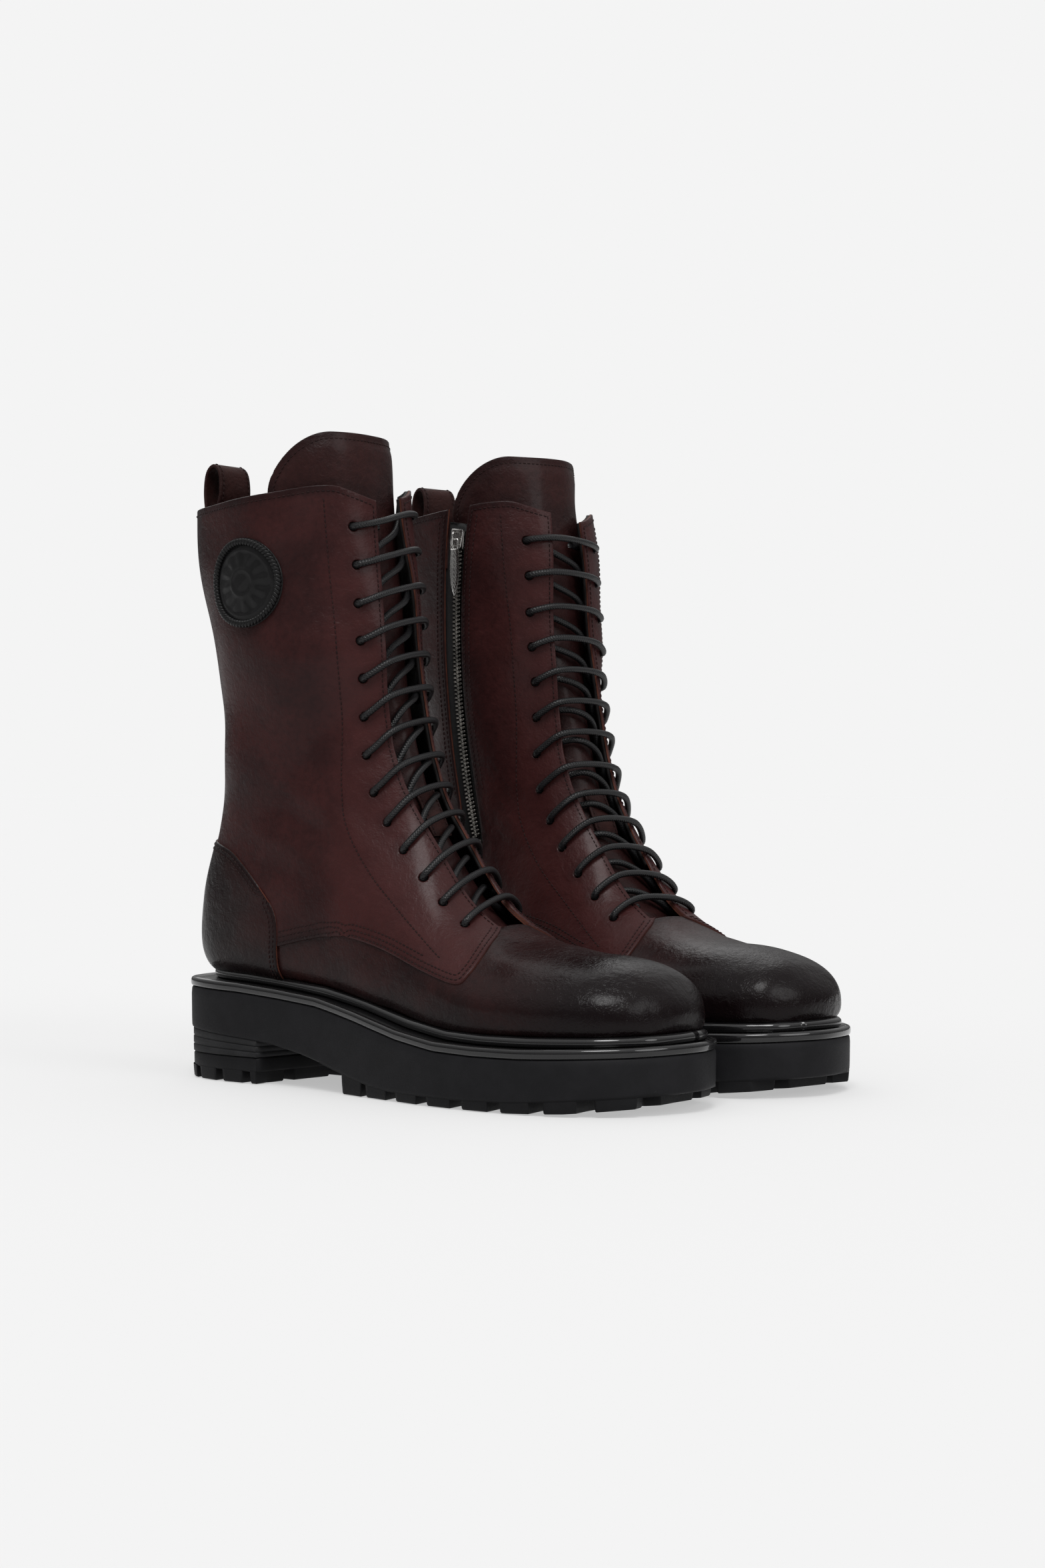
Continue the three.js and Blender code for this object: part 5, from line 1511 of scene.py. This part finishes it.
def plain(name, colour, shade, rough, grain_scale, strength, distance, **more):
    """One tone with a fine grain; anything but metal reflects little at its surface."""
    k = Nodes(name)
    cloud = k.noise(0.08, 3, 0.6)
    speck = k.noise(grain_scale, 3, 0.7)
    tone = k.mix(k.ramp(cloud, 0.3, 0.7), colour, shade)
    tone = k.mix(k.math("MULTIPLY", k.ramp(speck, 0.55, 0.8), 0.35), tone, tuple(c * 1.6 for c in shade))
    rough_map = k.ramp(speck, 0.2, 0.8, rough - 0.06, rough + 0.08)
    if "Metallic" not in more:
        more["Specular_IOR_Level"] = 0.13
    return k.finish(tone, rough_map, k.bump(speck, strength, distance), **more)


METAL = {"Metallic": 1.0}
for key, colour, shade, rough, grain_scale, strength, distance, more in (
        ("raw_edge", (0.1, 0.032, 0.02), (0.05, 0.016, 0.011), 0.6, 3.0, 0.6, 0.0003, {}),
        ("thread", (0.02, 0.007, 0.0065), (0.012, 0.005, 0.005), 0.5, 4.0, 0.7, 0.0002, {}),
        ("lining", (0.011, 0.0095, 0.0095), (0.007, 0.006, 0.006), 0.6, 1.6, 0.4, 0.0003, {}),
        ("welt", (0.0055, 0.0052, 0.0056), (0.004, 0.0038, 0.0042), 0.3, 0.8, 0.18, 0.0002,
         {"Coat_Weight": 0.8}),
        ("midsole", (0.0088, 0.0086, 0.0098), (0.0066, 0.0065, 0.0074), 0.58, 1.3, 0.3, 0.0002, {}),
        ("tread", (0.0066, 0.0065, 0.0073), (0.0048, 0.0048, 0.0054), 0.55, 1.3, 0.35, 0.0002, {}),
        ("stack", (0.019, 0.019, 0.02), (0.013, 0.013, 0.0138), 0.6, 1.1, 0.35, 0.0002, {}),
        ("board", (0.34, 0.26, 0.17), (0.25, 0.19, 0.12), 0.85, 0.9, 0.5, 0.0003, {}),
        ("steel", (0.4, 0.4, 0.4), (0.3, 0.3, 0.3), 0.35, 1.4, 0.3, 0.0001, METAL),
        ("teeth", (0.30, 0.285, 0.26), (0.12, 0.115, 0.105), 0.36, 1.4, 0.4, 0.0001, METAL),
        ("nickel", (0.55, 0.54, 0.52), (0.34, 0.33, 0.32), 0.24, 1.8, 0.25, 0.0001, METAL),
        ("badge", (0.006, 0.0058, 0.006), (0.0042, 0.004, 0.0042), 0.36, 2.4, 0.5, 0.0002,
         {"Coat_Weight": 0.1})):
    MATERIALS[key] = plain(key, colour, shade, rough, grain_scale, strength, distance, **more)


def woven(name):
    k = Nodes(name)
    weave = k.math("MULTIPLY", k.wave("DIAGONAL", 1.1, 0.4), k.wave("Z", 0.9))
    colour = k.mix(weave, (0.006, 0.006, 0.0065), (0.016, 0.016, 0.017))
    return k.finish(colour, 0.75, k.bump(weave, 0.6, 0.0002), Sheen_Weight=0.1)


MATERIALS["tape"] = woven("zip_tape")


def braided(name):
    """Waxed round lace: two families of strands winding round it."""
    k = Nodes(name)
    spin = k.math("MULTIPLY", k.attribute("around"), 6.0)
    run = k.math("MULTIPLY", k.attribute("along"), 4.4)
    one = k.math("SINE", k.math("ADD", run, spin), 0.0)
    two = k.math("SINE", k.math("SUBTRACT", run, spin), 0.0)
    weave = k.math("MAXIMUM", one, two)
    tone = k.mix(k.ramp(weave, -0.4, 1.0), (0.0028, 0.0028, 0.0032), (0.0072, 0.0072, 0.008))
    return k.finish(tone, k.ramp(weave, -0.4, 1.0, 0.42, 0.3), k.bump(weave, 0.4, 0.0002),
                    Specular_IOR_Level=0.28)


MATERIALS["lace"] = braided("lace")

# ---------- the pair ----------
KEPT = {
    "insole_board": "board", "footbed": "lining", "shank": "steel", "toe_puff": "board",
    "heel_stiffener": "board", "vamp_lining": "lining",
}
for side, seed, inner_lift in (("right", 0.0, 9.0), ("left", 0.7, 2.0)):
    outer_row, inner_row = build_upper(side, seed, inner_lift)
    build_lace(side, seed, outer_row, inner_row)
    build_tongue(side, seed, (outer_row[0][9] + outer_row[0][8]) / 2)
    build_straps(side)
    build_sole(side)
    build_zip(side)
    build_badge(side, seed)
    for node, material in KEPT.items():
        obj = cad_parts[f"{side}_{node}"]
        obj.data.materials.clear()
        obj.data.materials.append(MATERIALS[material])
        at = obj.data.attributes.new("bp", "FLOAT_VECTOR", "POINT")
        co = np.empty(len(obj.data.vertices) * 3)
        obj.data.vertices.foreach_get("co", co)
        at.data.foreach_set("vector", co * 1000)

# ---------- floor and light ----------
LOW_LIGHT = 0.1
HIGH_LIGHT = 0.95
LOW_SKY = 0.05
HIGH_SKY = 0.7
BACKDROP = 0.905
GLOW = 0.45
LAMPS = {
    "key": ((-0.55, -0.35, 1.0), 24, 1.7),
    "front": ((-0.1, -1.0, 0.55), 30, 0.7),
    "back": ((0.5, 0.7, 0.9), 50, 0.5),
}
# the floor's own tone makes it as bright as the backdrop under this sky and these lamps
SHINE = sum(power * Vector(way).normalized().z for way, _, power in LAMPS.values()) / math.pi
height_steps = (np.arange(200) + 0.5) / 200
share_up = np.clip((height_steps - LOW_SKY) / (HIGH_SKY - LOW_SKY), 0, 1)
sky_light = float(np.mean(2 * height_steps * (LOW_LIGHT + (HIGH_LIGHT - LOW_LIGHT) * share_up)))
FLOOR = (BACKDROP - GLOW) / (BACKDROP * sky_light + SHINE)
bpy.ops.mesh.primitive_plane_add(size=60, location=(0, 0, -0.0004))
floor = bpy.context.object
floor.name = "floor"
ground = bpy.data.materials.new("floor")
ground.use_nodes = True
shader = ground.node_tree.nodes["Principled BSDF"]
shader.inputs["Base Color"].default_value = (FLOOR, FLOOR, FLOOR, 1)
shader.inputs["Roughness"].default_value = 1.0
shader.inputs["Specular IOR Level"].default_value = 0.0
shader.inputs["Emission Color"].default_value = (1, 1, 1, 1)
shader.inputs["Emission Strength"].default_value = GLOW
floor.data.materials.append(ground)

world = bpy.data.worlds.new("studio")
bpy.context.scene.world = world
world.use_nodes = True
tree = world.node_tree
background = tree.nodes["Background"]
background.inputs["Color"].default_value = (BACKDROP, BACKDROP, BACKDROP, 1)
path_node = tree.nodes.new("ShaderNodeLightPath")
where = tree.nodes.new("ShaderNodeTexCoord")
apart = tree.nodes.new("ShaderNodeSeparateXYZ")
tree.links.new(where.outputs["Generated"], apart.inputs[0])
sky = tree.nodes.new("ShaderNodeMapRange")
for key, number in (("From Min", LOW_SKY), ("From Max", HIGH_SKY),
                    ("To Min", LOW_LIGHT), ("To Max", HIGH_LIGHT)):
    sky.inputs[key].default_value = number
tree.links.new(apart.outputs["Z"], sky.inputs["Value"])
power = tree.nodes.new("ShaderNodeMath")
power.operation = "MAXIMUM"
tree.links.new(path_node.outputs["Is Camera Ray"], power.inputs[0])
tree.links.new(sky.outputs["Result"], power.inputs[1])
tree.links.new(power.outputs[0], background.inputs["Strength"])


def lamp(name, direction, angle, strength):
    data = bpy.data.lights.new(name, "SUN")
    data.angle = math.radians(angle)
    data.energy = strength
    obj = bpy.data.objects.new(name, data)
    bpy.context.collection.objects.link(obj)
    obj.rotation_euler = (-Vector(direction)).to_track_quat("-Z", "Y").to_euler()


for name, (direction, angle, strength) in LAMPS.items():
    lamp(name, direction, angle, strength)
bpy.context.scene.view_settings.view_transform = "Standard"
